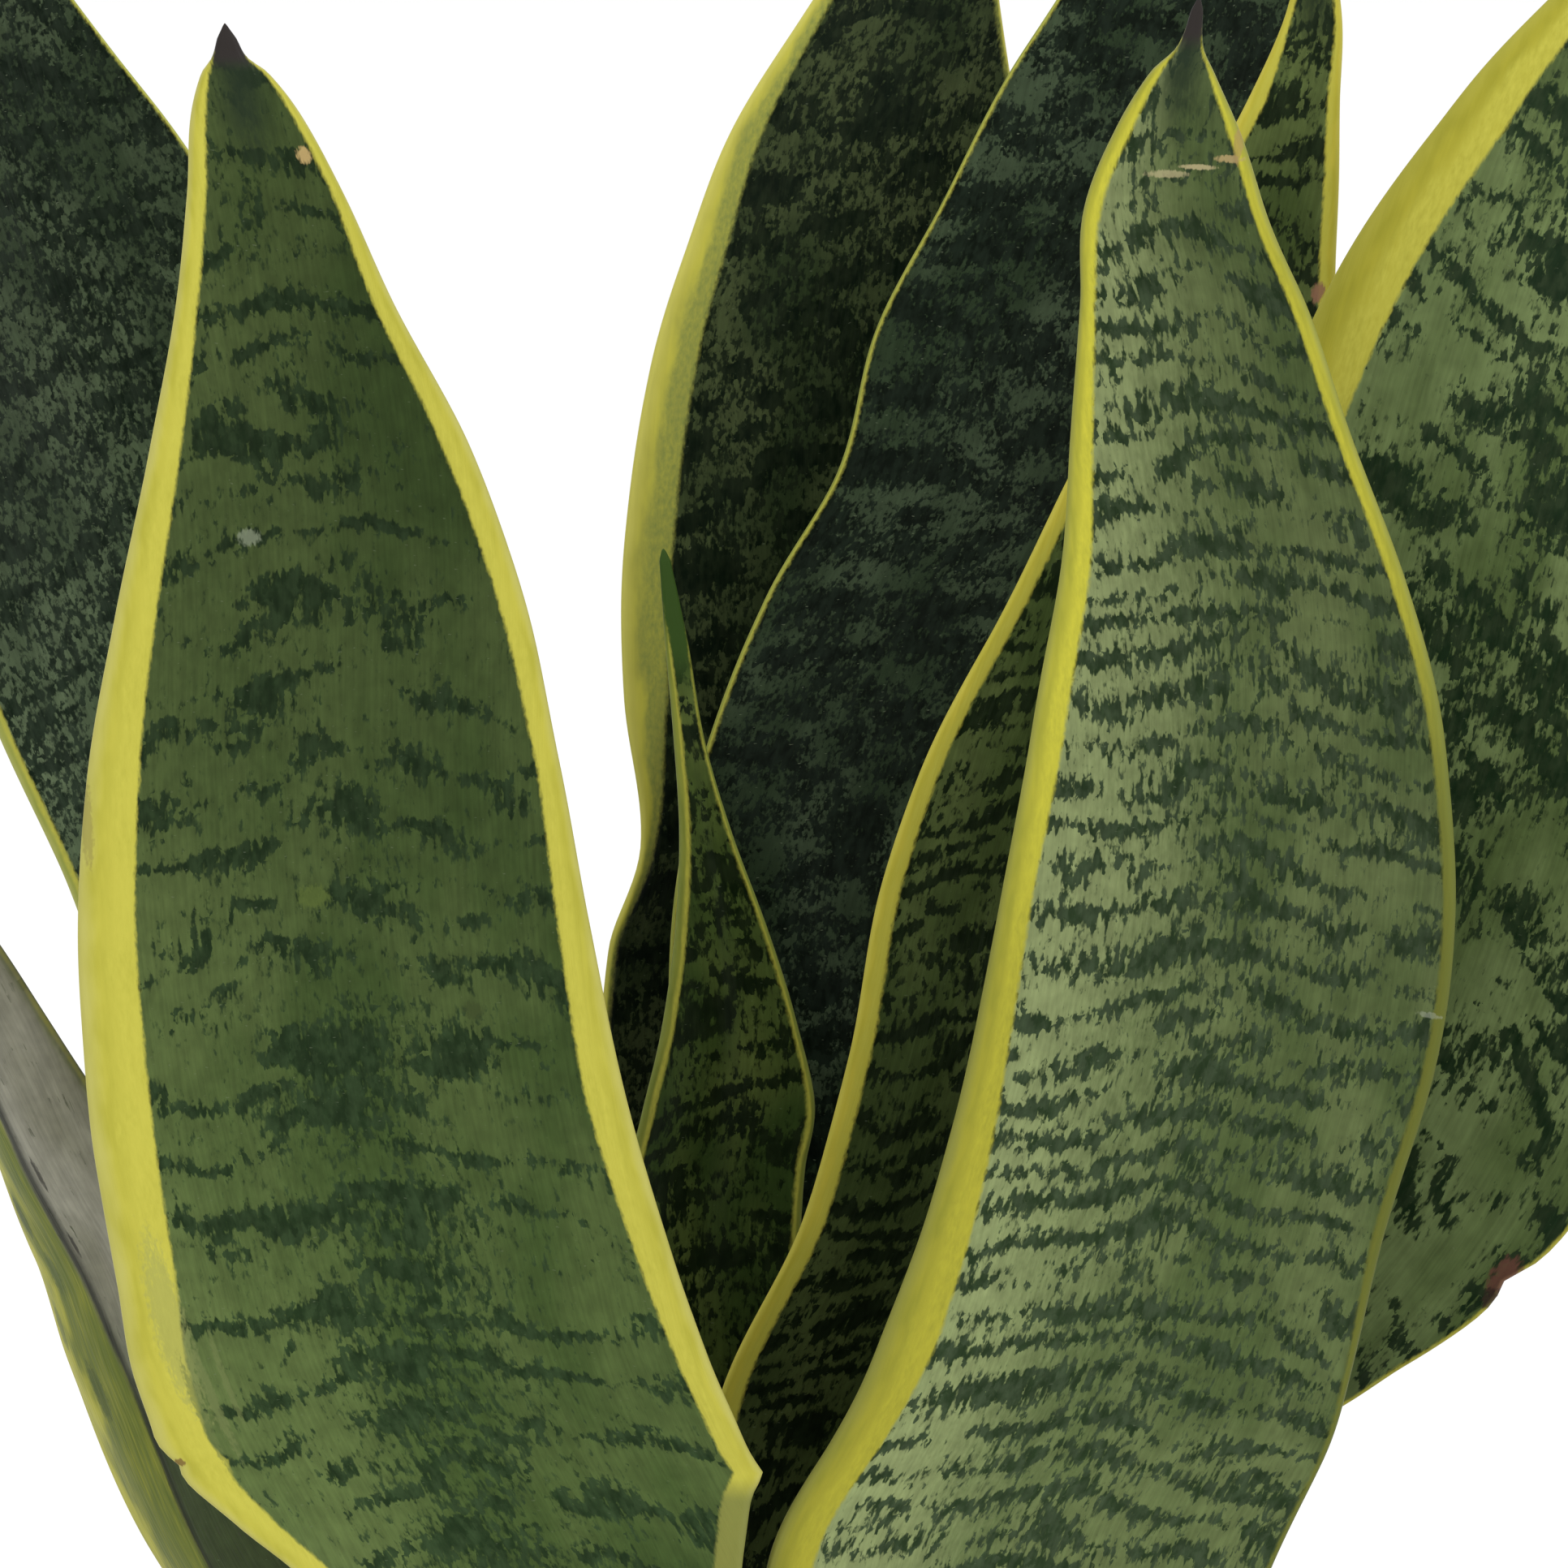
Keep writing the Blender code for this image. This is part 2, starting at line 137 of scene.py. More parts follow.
def cells(tree, place, wide, long, seed, shiftX, shiftY):
    # blocky spots of random darkness from -1 to 1, their borders moved by the two shifts
    across, along = place
    x = total(tree, calc(tree, "MULTIPLY_ADD", across, 1 / wide, seed * 2.3), shiftX)
    y = total(tree, calc(tree, "MULTIPLY_ADD", along, 1 / long, seed * 1.3), shiftY)
    values = {"Vector": combine(tree, x, y, 0.0), "Scale": 1.0}
    found = step(tree, "ShaderNodeTexVoronoi", values, voronoi_dimensions="2D", feature="F1")
    return calc(tree, "MULTIPLY_ADD", found["Color"], 2.0, -1.0)


def newMaterial(name, roughness, specular):
    material = bpy.data.materials.new(name)
    material.use_nodes = True
    shader = material.node_tree.nodes["Principled BSDF"]
    shader.inputs["Roughness"].default_value = roughness
    shader.inputs["Specular IOR Level"].default_value = specular
    return material, material.node_tree, shader


def addBump(tree, shader, height, strength, deep):
    # deep is the height of the relief in mm
    values = {"Strength": strength, "Distance": deep * mm, "Height": height}
    plug(tree, step(tree, "ShaderNodeBump", values)[0], shader.inputs["Normal"])


def newPiece(name, points, faces):
    mesh = bpy.data.meshes.new(name)
    mesh.from_pydata(points.tolist(), [], faces)
    mesh.shade_smooth()
    piece = bpy.data.objects.new(name, mesh)
    bpy.context.scene.collection.objects.link(piece)
    return piece


def ringFaces(rowCount, loop):
    faces = []
    for row in range(rowCount - 1):
        low, high = row * loop, (row + 1) * loop
        for i in range(loop):
            after = (i + 1) % loop
            faces.append((low + i, high + i, high + after, low + after))
    return faces


def poleFaces(rowCount, loop):
    # fans to the two poles, which come after the rings in the list of points
    pole, last = rowCount * loop, (rowCount - 1) * loop
    faces = []
    for i in range(loop):
        after = (i + 1) % loop
        faces += [(pole, i, after), (pole + 1, last + after, last + i)]
    return faces


def softWave(x, y, seed):
    # smooth value noise on a lattice, from -1 to 1
    cellX, cellY = np.floor(x), np.floor(y)
    u, v = x - cellX, y - cellY
    u, v = u * u * (3 - 2 * u), v * v * (3 - 2 * v)

    def corner(i, j):
        mixed = np.sin((cellX + i) * 127.1 + (cellY + j) * 311.7 + seed * 74.7) * 43758.5453
        return (mixed - np.floor(mixed)) * 2 - 1

    low = corner(0, 0) * (1 - u) + corner(1, 0) * u
    high = corner(0, 1) * (1 - u) + corner(1, 1) * u
    return low * (1 - v) + high * v


# each leaf starts from this skin and changes a few values: lengths in mm, colours in linear light
bandedSkin = {
    "light": ((0.024, 0.041, 0.010), (0.038, 0.057, 0.016)),
    "dark": ((0.006, 0.014, 0.004), (0.015, 0.028, 0.010)),
    # the pale colour and its share paint a sheen over the left half of the blade
    "pale": (0.070, 0.095, 0.030), "sheenShare": 0.45, "lowLift": 1.0, "lowAlong": (70, 210),
    "lowColour": ((0.03, 0.04, 0.02), -2, -1),
    "period": 9.0, "bandGain": 0.55, "bandSharp": 3.0, "bandGaps": (-0.35, 0.15), "teeth": 1.8,
    "warp": 3.5, "arch": 5.0, "archWidth": 11.0, "lean": 0.0, "threshold": 0.62, "soft": 0.26,
    "fibreGain": 0.8, "fibre": (0.6, 1.6), "cellGain": 0.5, "cell": (0.8, 1.2),
    "patchGain": 0.35, "patch": (9.0, 5.0), "streakGain": 0.0,
    "midGain": 0.9, "midWidth": 12.0, "midAlong": (150, 190), "midHigh": 0.25,
    "yellow": ((0.46, 0.43, 0.062), (0.38, 0.36, 0.045)), "edgeYellow": (0.44, 0.42, 0.13),
    "innerYellow": (0.46, 0.43, 0.062), "innerFrom": 0.5, "marginBlur": 0.45,
    # painted shade on the lower right margin: its colour and the heights it fades out over
    "rightRimShade": ((0.3, 0.3, 0.04), -2, -1), "rimLow": (1.0, 0, 1),
    # a painted crease shadow can run along the right border, set by the next three values
    "creaseShadow": 0.0, "creaseShadowWide": 0.8, "creaseShadowColour": (0.010, 0.012, 0.006),
    "tip": (0.014, 0.024, 0.012), "tipReach": 18.0, "tipWide": 2.6,
    "spike": (0.026, 0.022, 0.020), "spikeReach": 6.5,
    "flecks": 0.25, "fleckColour": (0.16, 0.19, 0.12),
    "roughness": 0.42, "specular": 0.06, "relief": (0.30, 0.10),
}
# the noises of a skin: width and length of a spot in mm, step of the seed, detail
skinGrains = {
    "warp": (16, 11, 0.3, 1.0), "wander": (90, 24, 5.1, 1.0), "teeth": (0.8, 12, 20.3, 1.0),
    "fine": (0.3, 0.7, 2.9, 1.0), "midline": (30, 16, 6.2, 1.0), "streaks": (0.8, 7.0, 15.5, 2.0),
    "slow": (14, 30, 7.5, 2.0), "speck": (1.5, 3.0, 8.1, 2.0), "thread": (0.45, 9, 9.6, 2.0),
    "cloud": (2.2, 3.0, 16.2, 2.0), "dust": (0.9, 0.35, 10.2, 1.0), "line": (0.9, 24, 11.3, 2.0),
    "bloom": (3.0, 9.0, 17.9, 2.0), "gloss": (8, 14, 12.4, 2.0), "relief": (0.55, 16, 13.7, 2.0),
}


def leafSkin(name, changes, seed, spots):
    skin = {**bandedSkin, **changes}
    material, tree, shader = newMaterial(name, skin["roughness"], skin["specular"])
    across, along, share = (attribute(tree, key) for key in ("across", "along", "share"))
    inset, rim, fromTip = (attribute(tree, key) for key in ("inset", "rim", "fromTip"))
    place = (across, along)

    def spotty(key):
        wide, long, step, detail = skinGrains[key]
        return grain(tree, place, wide, long, seed + step, detail)

    # transverse bands, bent by slow noise and arched over the midline
    bandPlace = total(
        tree,
        along,
        times(tree, spotty("warp"), skin["warp"] * 2),
        times(tree, spotty("wander"), skin["period"] * 0.9),
        times(tree, bell(tree, across, skin["archWidth"]), -skin["arch"]),
        times(tree, across, skin["lean"]),
        times(tree, spotty("teeth"), skin["teeth"]),
    )
    wave = calc(tree, "SINE", times(tree, bandPlace, math.tau / skin["period"]))
    band = calc(tree, "POWER", calc(tree, "MULTIPLY_ADD", wave, 0.5, 0.5), skin["bandSharp"])
    # fibres, cells and patches break the bands up, and the midline is darker
    fibre = grain(tree, place, *skin["fibre"], seed + 1.7, 2.0, 0.6)
    fine = spotty("fine")
    block = cells(tree, place, *skin["cell"], seed, times(tree, fine, 0.5), times(tree, fibre, 0.5))
    patch = grain(tree, place, *skin["patch"], seed + 4.4, 1.5)
    shown = ease(tree, total(tree, patch, times(tree, block, 0.15)), *skin["bandGaps"])
    midStrength = calc(tree, "ADD", spotty("midline"), 0.75)
    midStrength = times(tree, midStrength, ease(tree, along, *skin["midAlong"], 1.0, skin["midHigh"]))
    darkness = total(
        tree,
        times(tree, band, shown, skin["bandGain"] * 2),
        times(tree, fibre, skin["fibreGain"]),
        times(tree, block, skin["cellGain"]),
        times(tree, patch, skin["patchGain"]),
        times(tree, bell(tree, across, skin["midWidth"]), midStrength, skin["midGain"]),
    )
    if skin["streakGain"]:
        nearMiddle = bell(tree, across, skin["midWidth"] * 1.2)
        darkness = total(tree, darkness, times(tree, spotty("streaks"), nearMiddle, skin["streakGain"]))
    mask = ease(tree, darkness, skin["threshold"] - skin["soft"], skin["threshold"] + skin["soft"])
    # the light green drifts slowly, has its own colour low down and is paler on the left, a painted sheen
    light = tint(tree, ease(tree, spotty("slow"), -0.35, 0.35), *skin["light"])
    lowColour, lowFrom, lowTo = skin["lowColour"]
    lowPlace = total(tree, along, times(tree, fibre, 4.0))
    light = tint(tree, ease(tree, lowPlace, lowFrom, lowTo, 1.0, 0.0), light, lowColour)
    # painted sheen: the pale colour lightens the left half of the blade
    sheenPlace = total(tree, share, times(tree, fibre, 0.2))
    light = tint(tree, ease(tree, sheenPlace, -0.95, 0.1, skin["sheenShare"], 0.0), light, skin["pale"])
    speck = total(tree, spotty("speck"), times(tree, block, 0.4))
    dark = tint(tree, ease(tree, speck, -0.5, 0.6), *skin["dark"])
    blade = tint(tree, mask, light, dark)
    # fine streaks along the fibres lift and lower the green a little
    streak = ease(tree, spotty("thread"), -0.6, 0.6, 0.90, 1.10)
    cloud = ease(tree, spotty("cloud"), -0.6, 0.6, 0.88, 1.12)
    lowLight = ease(tree, along, *skin["lowAlong"], skin["lowLift"], 1.0)
    blade = shade(tree, blade, times(tree, streak, cloud, lowLight))
    # pale dust and hair scratches
    fleck = ease(tree, spotty("dust"), 0.56, 0.70, 0.0, skin["flecks"])
    blade = tint(tree, fleck, blade, skin["fleckColour"])
    # darker green up the middle of the tip
    tipShade = total(tree, fromTip, times(tree, fibre, 4.0))
    tipShade = ease(tree, tipShade, skin["tipReach"] * 0.5, skin["tipReach"], 0.9, 0.0)
    tipNarrow = bell(tree, total(tree, across, times(tree, fibre, 0.8)), skin["tipWide"])
    blade = tint(tree, times(tree, tipShade, tipNarrow), blade, skin["tip"])
    # yellow margin, streaked, from its inner colour to its edge colour
    ratio = calc(tree, "DIVIDE", inset, calc(tree, "MAXIMUM", rim, 0.05))
    streaked = times(tree, spotty("line"), 0.3)
    bloom = spotty("bloom")
    yellow = tint(tree, ease(tree, total(tree, bloom, streaked), -0.5, 0.5), *skin["yellow"])
    inner = total(tree, ratio, times(tree, bloom, 0.25))
    inner = ease(tree, inner, skin["innerFrom"] - 0.15, skin["innerFrom"] + 0.15)
    innerShare = calc(tree, "MULTIPLY_ADD", fibre, 0.5, 0.7)
    yellow = tint(tree, inner, yellow, tint(tree, innerShare, yellow, skin["innerYellow"]))
    # the edge colour on the outer rim is painted light and shade of the rounded margin
    outer = ease(tree, total(tree, ratio, times(tree, bloom, 0.15)), 0.0, 0.35, 0.8, 0.0)
    yellow = tint(tree, outer, yellow, skin["edgeYellow"])
    # the right margin may take a painted shade colour low down, and both may darken there
    rightShadeColour, rightFrom, rightTo = skin["rightRimShade"]
    onRight = ease(tree, share, 0.0, 0.1)
    rightShadeLow = times(tree, onRight, ease(tree, along, rightFrom, rightTo, 1.0, 0.0))
    yellow = tint(tree, times(tree, rightShadeLow, 0.85), yellow, rightShadeColour)
    rimShade, rimFrom, rimTo = skin["rimLow"]
    yellow = shade(tree, yellow, ease(tree, along, rimFrom, rimTo, rimShade, 1.0))
    # the border between them is frayed, with a painted crease shadow along it where the skin asks for one
    border = total(tree, inset, times(tree, rim, -1.0), times(tree, fibre, 0.22), times(tree, fine, 0.12))
    if skin["creaseShadow"]:
        creaseShadow = bell(tree, total(tree, border, -0.5), skin["creaseShadowWide"])
        blade = tint(tree, times(tree, creaseShadow, onRight, skin["creaseShadow"]), blade, skin["creaseShadowColour"])
    inMargin = ease(tree, border, -skin["marginBlur"], skin["marginBlur"] * 0.3, 1.0, 0.0)
    colour = tint(tree, inMargin, blade, yellow)
    for spot in spots:
        dx = times(tree, total(tree, across, -spot["across"]), 1 / spot["size"][0])
        dy = times(tree, total(tree, along, -spot["along"]), 1 / spot["size"][1])
        ragged = (times(tree, fine, 0.6), times(tree, fibre, 0.5))
        far = total(tree, times(tree, dx, dx), times(tree, dy, dy), *ragged)
        colour = tint(tree, ease(tree, far, 0.35, 1.15, spot["strength"], 0.0), colour, spot["colour"])
    # the hard point is brown, and the margins beside it stay yellow a little higher
    spikePlace = total(tree, fromTip, times(tree, inMargin, 0.35 * skin["spikeReach"]))
    spike = ease(tree, spikePlace, skin["spikeReach"] * 0.6, skin["spikeReach"], 1.0, 0.0)
    plug(tree, tint(tree, spike, colour, skin["spike"]), shader.inputs["Base Color"])
    gloss = total(tree, times(tree, spotty("gloss"), 0.10), skin["roughness"])
    plug(tree, gloss, shader.inputs["Roughness"])
    addBump(tree, shader, spotty("relief"), *skin["relief"])
    return material


# stations: height above the soil, x, y, width, channel depth, left margin, right margin (all mm)
# marks: height, share of the half width, half sizes across and along, colour, strength
# notches: border, height, half length, depth
anyLeaf = {
    "rings": 230, "acrossSteps": 46, "crowding": 1.25, "slant": 0.0, "marks": (), "notches": (),
    "blade": 3.2, "bladeShare": 0.55, "margin": 1.5, "marginShare": 0.4, "roundShare": 0.55,
    "leastWidth": 0.9, "tipRound": 1.6, "channelPower": 1.8, "lip": 0.22, "lipBehind": 0.6,
    "edgeWave": 0.22, "edgeWaveLong": 14, "faceWave": 0.25, "broadWave": (13, 26),
    "smallWave": (4.5, 11), "smallShare": 0.35, "levelRoot": 40.0, "plantDepth": 11.0,
    "slopeShare": 0.01, "uvSize": (200, 330), "uvMiddle": 0.25, "uvBack": 0.45,
}

plantLeaves = {
    "leaf_front_left": {
        "slot": "leaf_olive", "facing": (0, 10), "seed": 3,
        "stations": (
            (0, -14, -30, 26, 8, 2.5, 2.5), (42, -21.5, -37, 36, 8, 3, 3.2),
            (79, -30.8, -42.5, 49.8, 8, 3.6, 3.4), (88.5, -35.2, -43.5, 60.5, 8, 4.6, 3.6),
            (95, -38.5, -44, 67, 8, 5.8, 3.7), (107, -43.5, -45, 67.5, 8, 6.6, 4),
            (118.5, -46.5, -45.5, 65.5, 8, 7.1, 4.4), (138.5, -50.7, -46.5, 63, 7, 7.5, 4.9),
            (159, -53.1, -47, 59.8, 6.5, 7, 3.9), (179, -54.1, -47.5, 54.8, 6, 6.3, 2.9),
            (198, -54, -48, 47.4, 5, 4.9, 3.3), (216, -55, -48.5, 37, 4, 3.8, 3.4),
            (233, -57.5, -49, 25, 3, 2.6, 2.5), (246, -59.5, -49.5, 17.5, 2, 2.3, 1.5),
            (254.2, -61.3, -50.1, 12.7, 1, 1.9, 1.3), (259.3, -62.5, -50.2, 7.6, 0.5, 1, 0.7),
            (261.1, -63, -50.5, 4, 0.2, 0.2, 0.2), (263, -63.2, -50.8, 2.4, 0.1, 0, 0),
            (265, -63.4, -51, 1, 0, 0, 0),
        ),
        "notches": (("left", 96.5, 1.2, 0.7), ("right", 92.5, 2.2, -1.6), ("left", 99.5, 2, -0.5)),
        "marks": (
            (250, 0.72, 0.9, 1.1, (0.42, 0.3, 0.12), 0.85),
            (174, -0.99, 0.8, 6, (0.2, 0.17, 0.05), 0.5),
            (163, -0.06, 2.2, 1.6, (0.07, 0.1, 0.022), 0.8),
            (149, 0.5, 1.3, 1.3, (0.035, 0.05, 0.015), 0.7),
            (97, -0.98, 0.6, 0.6, (0.16, 0.1, 0.03), 0.9),
            (206, -0.36, 1.5, 1.1, (0.17, 0.2, 0.13), 0.7),
            (113, -0.84, 2.2, 13, (0.24, 0.26, 0.09), 0.45),
            (104, -0.77, 0.7, 9, (0.13, 0.16, 0.055), 0.7),
            (106, -0.7, 0.45, 7, (0.13, 0.16, 0.055), 0.55),
            (102, -0.83, 0.6, 8, (0.11, 0.14, 0.045), 0.6),
        ),
        "skin": {
            "spikeReach": 5.6, "lowLift": 1.75, "lowAlong": (85, 225), "midGain": 1,
            "midAlong": (140, 185), "rightRimShade": ((0.15, 0.165, 0.045), 93, 97),
            "yellow": ((0.43, 0.4, 0.055), (0.35, 0.33, 0.04)), "edgeYellow": (0.4, 0.38, 0.11),
        },
    },
    "leaf_front_right": {
        "slot": "leaf_sage", "facing": (0, -12), "seed": 17,
        "stations": (
            (0, 16, -24, 26, 8, 3, 1), (40, 20.5, -31, 42, 8, 5.5, 0.8),
            (78, 28.2, -36.5, 59.5, 8, 5.6, 0.8), (95, 36, -37.5, 58.5, 8, 6.5, 0.8),
            (107, 40.5, -39, 56.4, 8, 7, 0.9), (122.5, 45.1, -39.5, 54.3, 8, 5.8, 1.5),
            (142.5, 50.4, -40, 54.7, 7.5, 4.5, 1.6), (161.5, 53.1, -41, 53.5, 7, 3.8, 1.6),
            (182, 54, -41, 48.5, 6, 4, 1.8), (200.5, 53, -41, 40.5, 5, 3.6, 2),
            (218, 50, -41, 32.5, 4, 2.7, 1.9), (232, 48, -41, 26.5, 3.5, 1.9, 2),
            (242.5, 45.5, -41.5, 21.5, 3, 2.2, 1.7), (252, 45.5, -41.5, 14.5, 1.5, 2.2, 1.5),
            (258.5, 45.8, -42.3, 7.5, 0.5, 1.5, 0.6), (261.5, 46.6, -42.5, 3, 0.2, 0.2, 0.2),
            (267.1, 47.5, -43, 1, 0, 0, 0),
        ),
        "marks": (
            (246.8, -0.12, 2.7, 0.5, (0.36, 0.32, 0.17), 0.65),
            (247.7, 0.3, 2.4, 0.35, (0.4, 0.34, 0.18), 0.75),
            (248.8, 0.74, 1.9, 0.5, (0.36, 0.27, 0.12), 0.8),
            (250.5, 0.93, 0.6, 2.6, (0.3, 0.2, 0.08), 0.6),
            (150, 0.94, 1.6, 0.4, (0.3, 0.33, 0.24), 0.4),
        ),
        "skin": {
            "light": ((0.052, 0.076, 0.024), (0.084, 0.11, 0.04)),
            "dark": ((0.012, 0.024, 0.008), (0.03, 0.046, 0.022)),
            "pale": (0.185, 0.22, 0.095), "sheenShare": 0.9, "period": 5.1, "bandGain": 0.54,
            "bandSharp": 1.5, "bandGaps": (-0.6, 0.1), "teeth": 1.9, "warp": 1.7, "arch": 3, "archWidth": 8,
            "threshold": 0.5, "patchGain": 0.7, "cellGain": 0.55, "cell": (0.7, 1.1), "fibreGain": 0.8,
            "fibre": (0.5, 1.6), "midGain": 0.3, "midWidth": 8, "midAlong": (190, 240),
            "streakGain": 0.9, "lowLift": 1.3, "rightRimShade": ((0.105, 0.125, 0.026), 178, 218),
            "rimLow": (0.76, 150, 195), "innerYellow": (0.47, 0.44, 0.042),
            "yellow": ((0.37, 0.35, 0.036), (0.27, 0.27, 0.032)), "edgeYellow": (0.22, 0.23, 0.055),
        },
    },
    "leaf_low_left": {
        "slot": "leaf_dark", "facing": (140, 135), "slant": 1, "seed": 29,
        "stations": (
            (0, -31, -16, 19, 6, 0.3, 3), (36, -47, -22, 25, 5, 0.3, 8),
            (76, -68.5, -27.5, 35, 3.5, 0.3, 16), (100.5, -77.7, -29.5, 35, 3, 0.3, 16),
            (113.5, -81.8, -31, 33, 3, 0.3, 13), (126.5, -88.2, -32.5, 25.5, 3, 0.3, 9.5),
            (142, -95, -34.5, 19, 2.5, 0.3, 7), (155.5, -102, -36, 16.5, 2, 0.3, 5.5),
            (170.5, -112, -38.5, 13, 1.5, 0.3, 4), (182, -121, -40.2, 6.9, 0.7, 0.3, 1.5),
            (188.1, -126.6, -41, 1.4, 0, 0, 0),
        ),
        "marks": (
            (120, 0.8, 1.2, 3.5, (0.05, 0.07, 0.014), 0.8),
            (112, 0.62, 1.4, 4, (0.05, 0.075, 0.014), 0.7),
            (104, 0.85, 1.1, 3, (0.07, 0.095, 0.014), 0.7),
            (97, 0.55, 1.6, 4.5, (0.04, 0.06, 0.012), 0.7),
            (133, 0.45, 0.9, 1.4, (0.6, 0.6, 0.55), 0.7),
            (126, 0.05, 0.5, 2.6, (0.02, 0.018, 0.014), 0.8),
            (117, 0.1, 0.4, 2, (0.02, 0.018, 0.014), 0.8),
        ),
        "skin": {
            # its grey light colour is a painted sheen, the gloss on the flank that faces up
            "light": ((0.15, 0.148, 0.104), (0.235, 0.23, 0.18)),
            "dark": ((0.02, 0.028, 0.012), (0.05, 0.055, 0.03)), "sheenShare": 0,
            "period": 8, "bandGain": 0.1, "fibre": (0.5, 9), "threshold": 0.75, "marginBlur": 1,
            "yellow": ((0.28, 0.28, 0.024), (0.15, 0.17, 0.018)), "edgeYellow": (0.36, 0.34, 0.03),
            # the fold beside the wide margin gets a painted crease shadow
            "innerYellow": (0.065, 0.092, 0.013), "innerFrom": 0.34, "creaseShadowWide": 1.3,
            "lowColour": ((0.03, 0.044, 0.014), 102, 124), "creaseShadow": 0.9, "midGain": 0,
        },
    },
    "leaf_right": {
        "slot": "leaf_olive", "facing": (-50, -18), "slant": 1, "seed": 41,
        "stations": (
            (0, 33, -6, 22, 7, 2.5, 1), (40, 32, -13, 24, 7, 3.5, 0.8), (71, 35, -16, 28.5, 7, 4.5, 0.5),
            (92, 39, -16.5, 33, 7, 6, 0.5), (113, 55.5, -17.5, 51, 8, 8, 0.5),
            (133, 68.5, -19, 65.5, 8, 8.5, 0.5), (155.5, 77.5, -19.5, 69.5, 8, 8.5, 0.6),
            (177.5, 84.5, -20.5, 72.5, 8, 8.5, 1.2), (200.5, 89.5, -21, 68.5, 7, 8.5, 2.5),
            (223, 95.4, -21, 61.2, 6, 8, 3), (243, 102.2, -21, 49.2, 5, 7, 3),
            (262.5, 109.4, -21, 34, 3.5, 4.5, 2.5), (279.5, 113.5, -21, 21, 2, 2.6, 1.8),
            (290.6, 115.2, -20.6, 7.3, 0.4, 1, 0.8), (296.7, 116, -21, 1.5, 0, 0, 0),
        ),
        "notches": (("right", 127.5, 2, 1.6),),
        "marks": (
            (127.5, 0.96, 2, 2.4, (0.1, 0.045, 0.03), 0.95),
            (125.5, 0.99, 1.2, 1.3, (0.03, 0.018, 0.014), 0.9),
        ),
        "skin": {
            "light": ((0.066, 0.098, 0.03), (0.128, 0.172, 0.064)),
            "dark": ((0.008, 0.02, 0.007), (0.02, 0.034, 0.014)),
            "pale": (0.1, 0.13, 0.05), "sheenShare": 0.2, "period": 7, "bandGain": 0.45, "lean": 0.55,
            "threshold": 0.42, "patchGain": 1.2, "patch": (12, 8), "midGain": 0.55, "midAlong": (260, 300),
            "streakGain": 0.6, "rimLow": (0.78, 185, 240), "lowLift": 0.85,
            "yellow": ((0.36, 0.33, 0.034), (0.28, 0.265, 0.026)), "edgeYellow": (0.34, 0.32, 0.05),
        },
    },
    "leaf_behind_right": {
        "slot": "leaf_dark", "facing": (0, -10), "seed": 53,
        "stations": (
            (0, 6, -2, 22, 6, 2, 1.5), (33, 4, 0, 24, 6, 2.2, 1.6), (65, 7.5, 1, 34, 6, 2.8, 2),
            (87, 14.5, 1.5, 44.5, 6, 3, 2), (110, 25, 1.5, 44.5, 6, 3, 2.2),
            (131, 31.5, 2, 45.5, 6, 2.8, 2.2), (151.5, 36, 3.5, 47, 6, 2.7, 2.2),
            (167.5, 40.5, 4, 45.5, 5.5, 2.6, 2.2), (185.5, 46.5, 5.5, 39, 4.5, 2.5, 2.2),
            (201.5, 51, 7, 32.5, 3.5, 2.5, 2.2), (219, 55.5, 8.5, 24.5, 2.5, 2.5, 2.2),
            (236, 59, 9.5, 18, 1.5, 2.6, 2), (248.9, 62.3, 10.7, 11.3, 0.8, 2.5, 1.6),
            (257.8, 64.4, 11.7, 7.5, 0.2, 1.2, 1), (265.5, 65, 12, 4.4, 0, 0.8, 0.6),
            (271.5, 65.6, 12.6, 1.4, 0, 0, 0),
        ),
        "marks": (
            (226, 0.8, 0.9, 1.5, (0.26, 0.13, 0.08), 0.9),
            (224.5, 0.95, 0.5, 0.8, (0.06, 0.03, 0.02), 0.9),
        ),
        "skin": {
            "light": ((0.046, 0.07, 0.018), (0.08, 0.108, 0.032)),
            "dark": ((0.005, 0.011, 0.003), (0.012, 0.021, 0.007)), "sheenShare": 0,
            "period": 5.5, "threshold": 0.4, "lowLift": 0.6, "bandSharp": 1.5, "midGain": 0.3,
            "yellow": ((0.52, 0.45, 0.055), (0.41, 0.37, 0.04)), "edgeYellow": (0.44, 0.4, 0.07),
        },
    },
    "leaf_young": {
        "slot": "leaf_olive", "facing": (0, 12), "seed": 67, "blade": 2.2,
        "stations": (
            (0, -13, 6, 12, 3, 1, 1), (34, -12, 9, 15, 4, 1.5, 1.5), (65, -10, 12, 17.5, 4.5, 1.6, 1.2),
            (89, -10.5, 13, 21.5, 5, 1.8, 1.3), (114, -9.5, 14, 23, 5, 1.9, 1.3),
            (122.5, -8, 14, 22.5, 5, 1.9, 1.2), (133, -7.8, 14, 17.4, 4.5, 1.9, 1),
            (144.8, -8.6, 14.4, 11.8, 3.5, 1.8, 0.9), (156.8, -10.2, 14.7, 6.7, 2, 1.6, 0.8),
            (168.7, -12, 14.9, 3.9, 0.8, 1.2, 0.6), (180.6, -13.4, 15.2, 2.9, 0.3, 0.7, 0.4),
            (192.6, -15, 15.5, 1.2, 0, 0, 0),
        ),
        "skin": {
            "light": ((0.028, 0.052, 0.01), (0.08, 0.11, 0.025)),
            "dark": ((0.004, 0.01, 0.002), (0.01, 0.018, 0.005)), "sheenShare": 0,
            "period": 7, "bandGain": 0.45, "threshold": 0.38, "bandSharp": 1.6, "midGain": 0.3,
            "spike": (0.034, 0.07, 0.012), "spikeReach": 20,
            "yellow": ((0.23, 0.25, 0.038), (0.15, 0.18, 0.03)), "edgeYellow": (0.18, 0.21, 0.05),
        },
    },
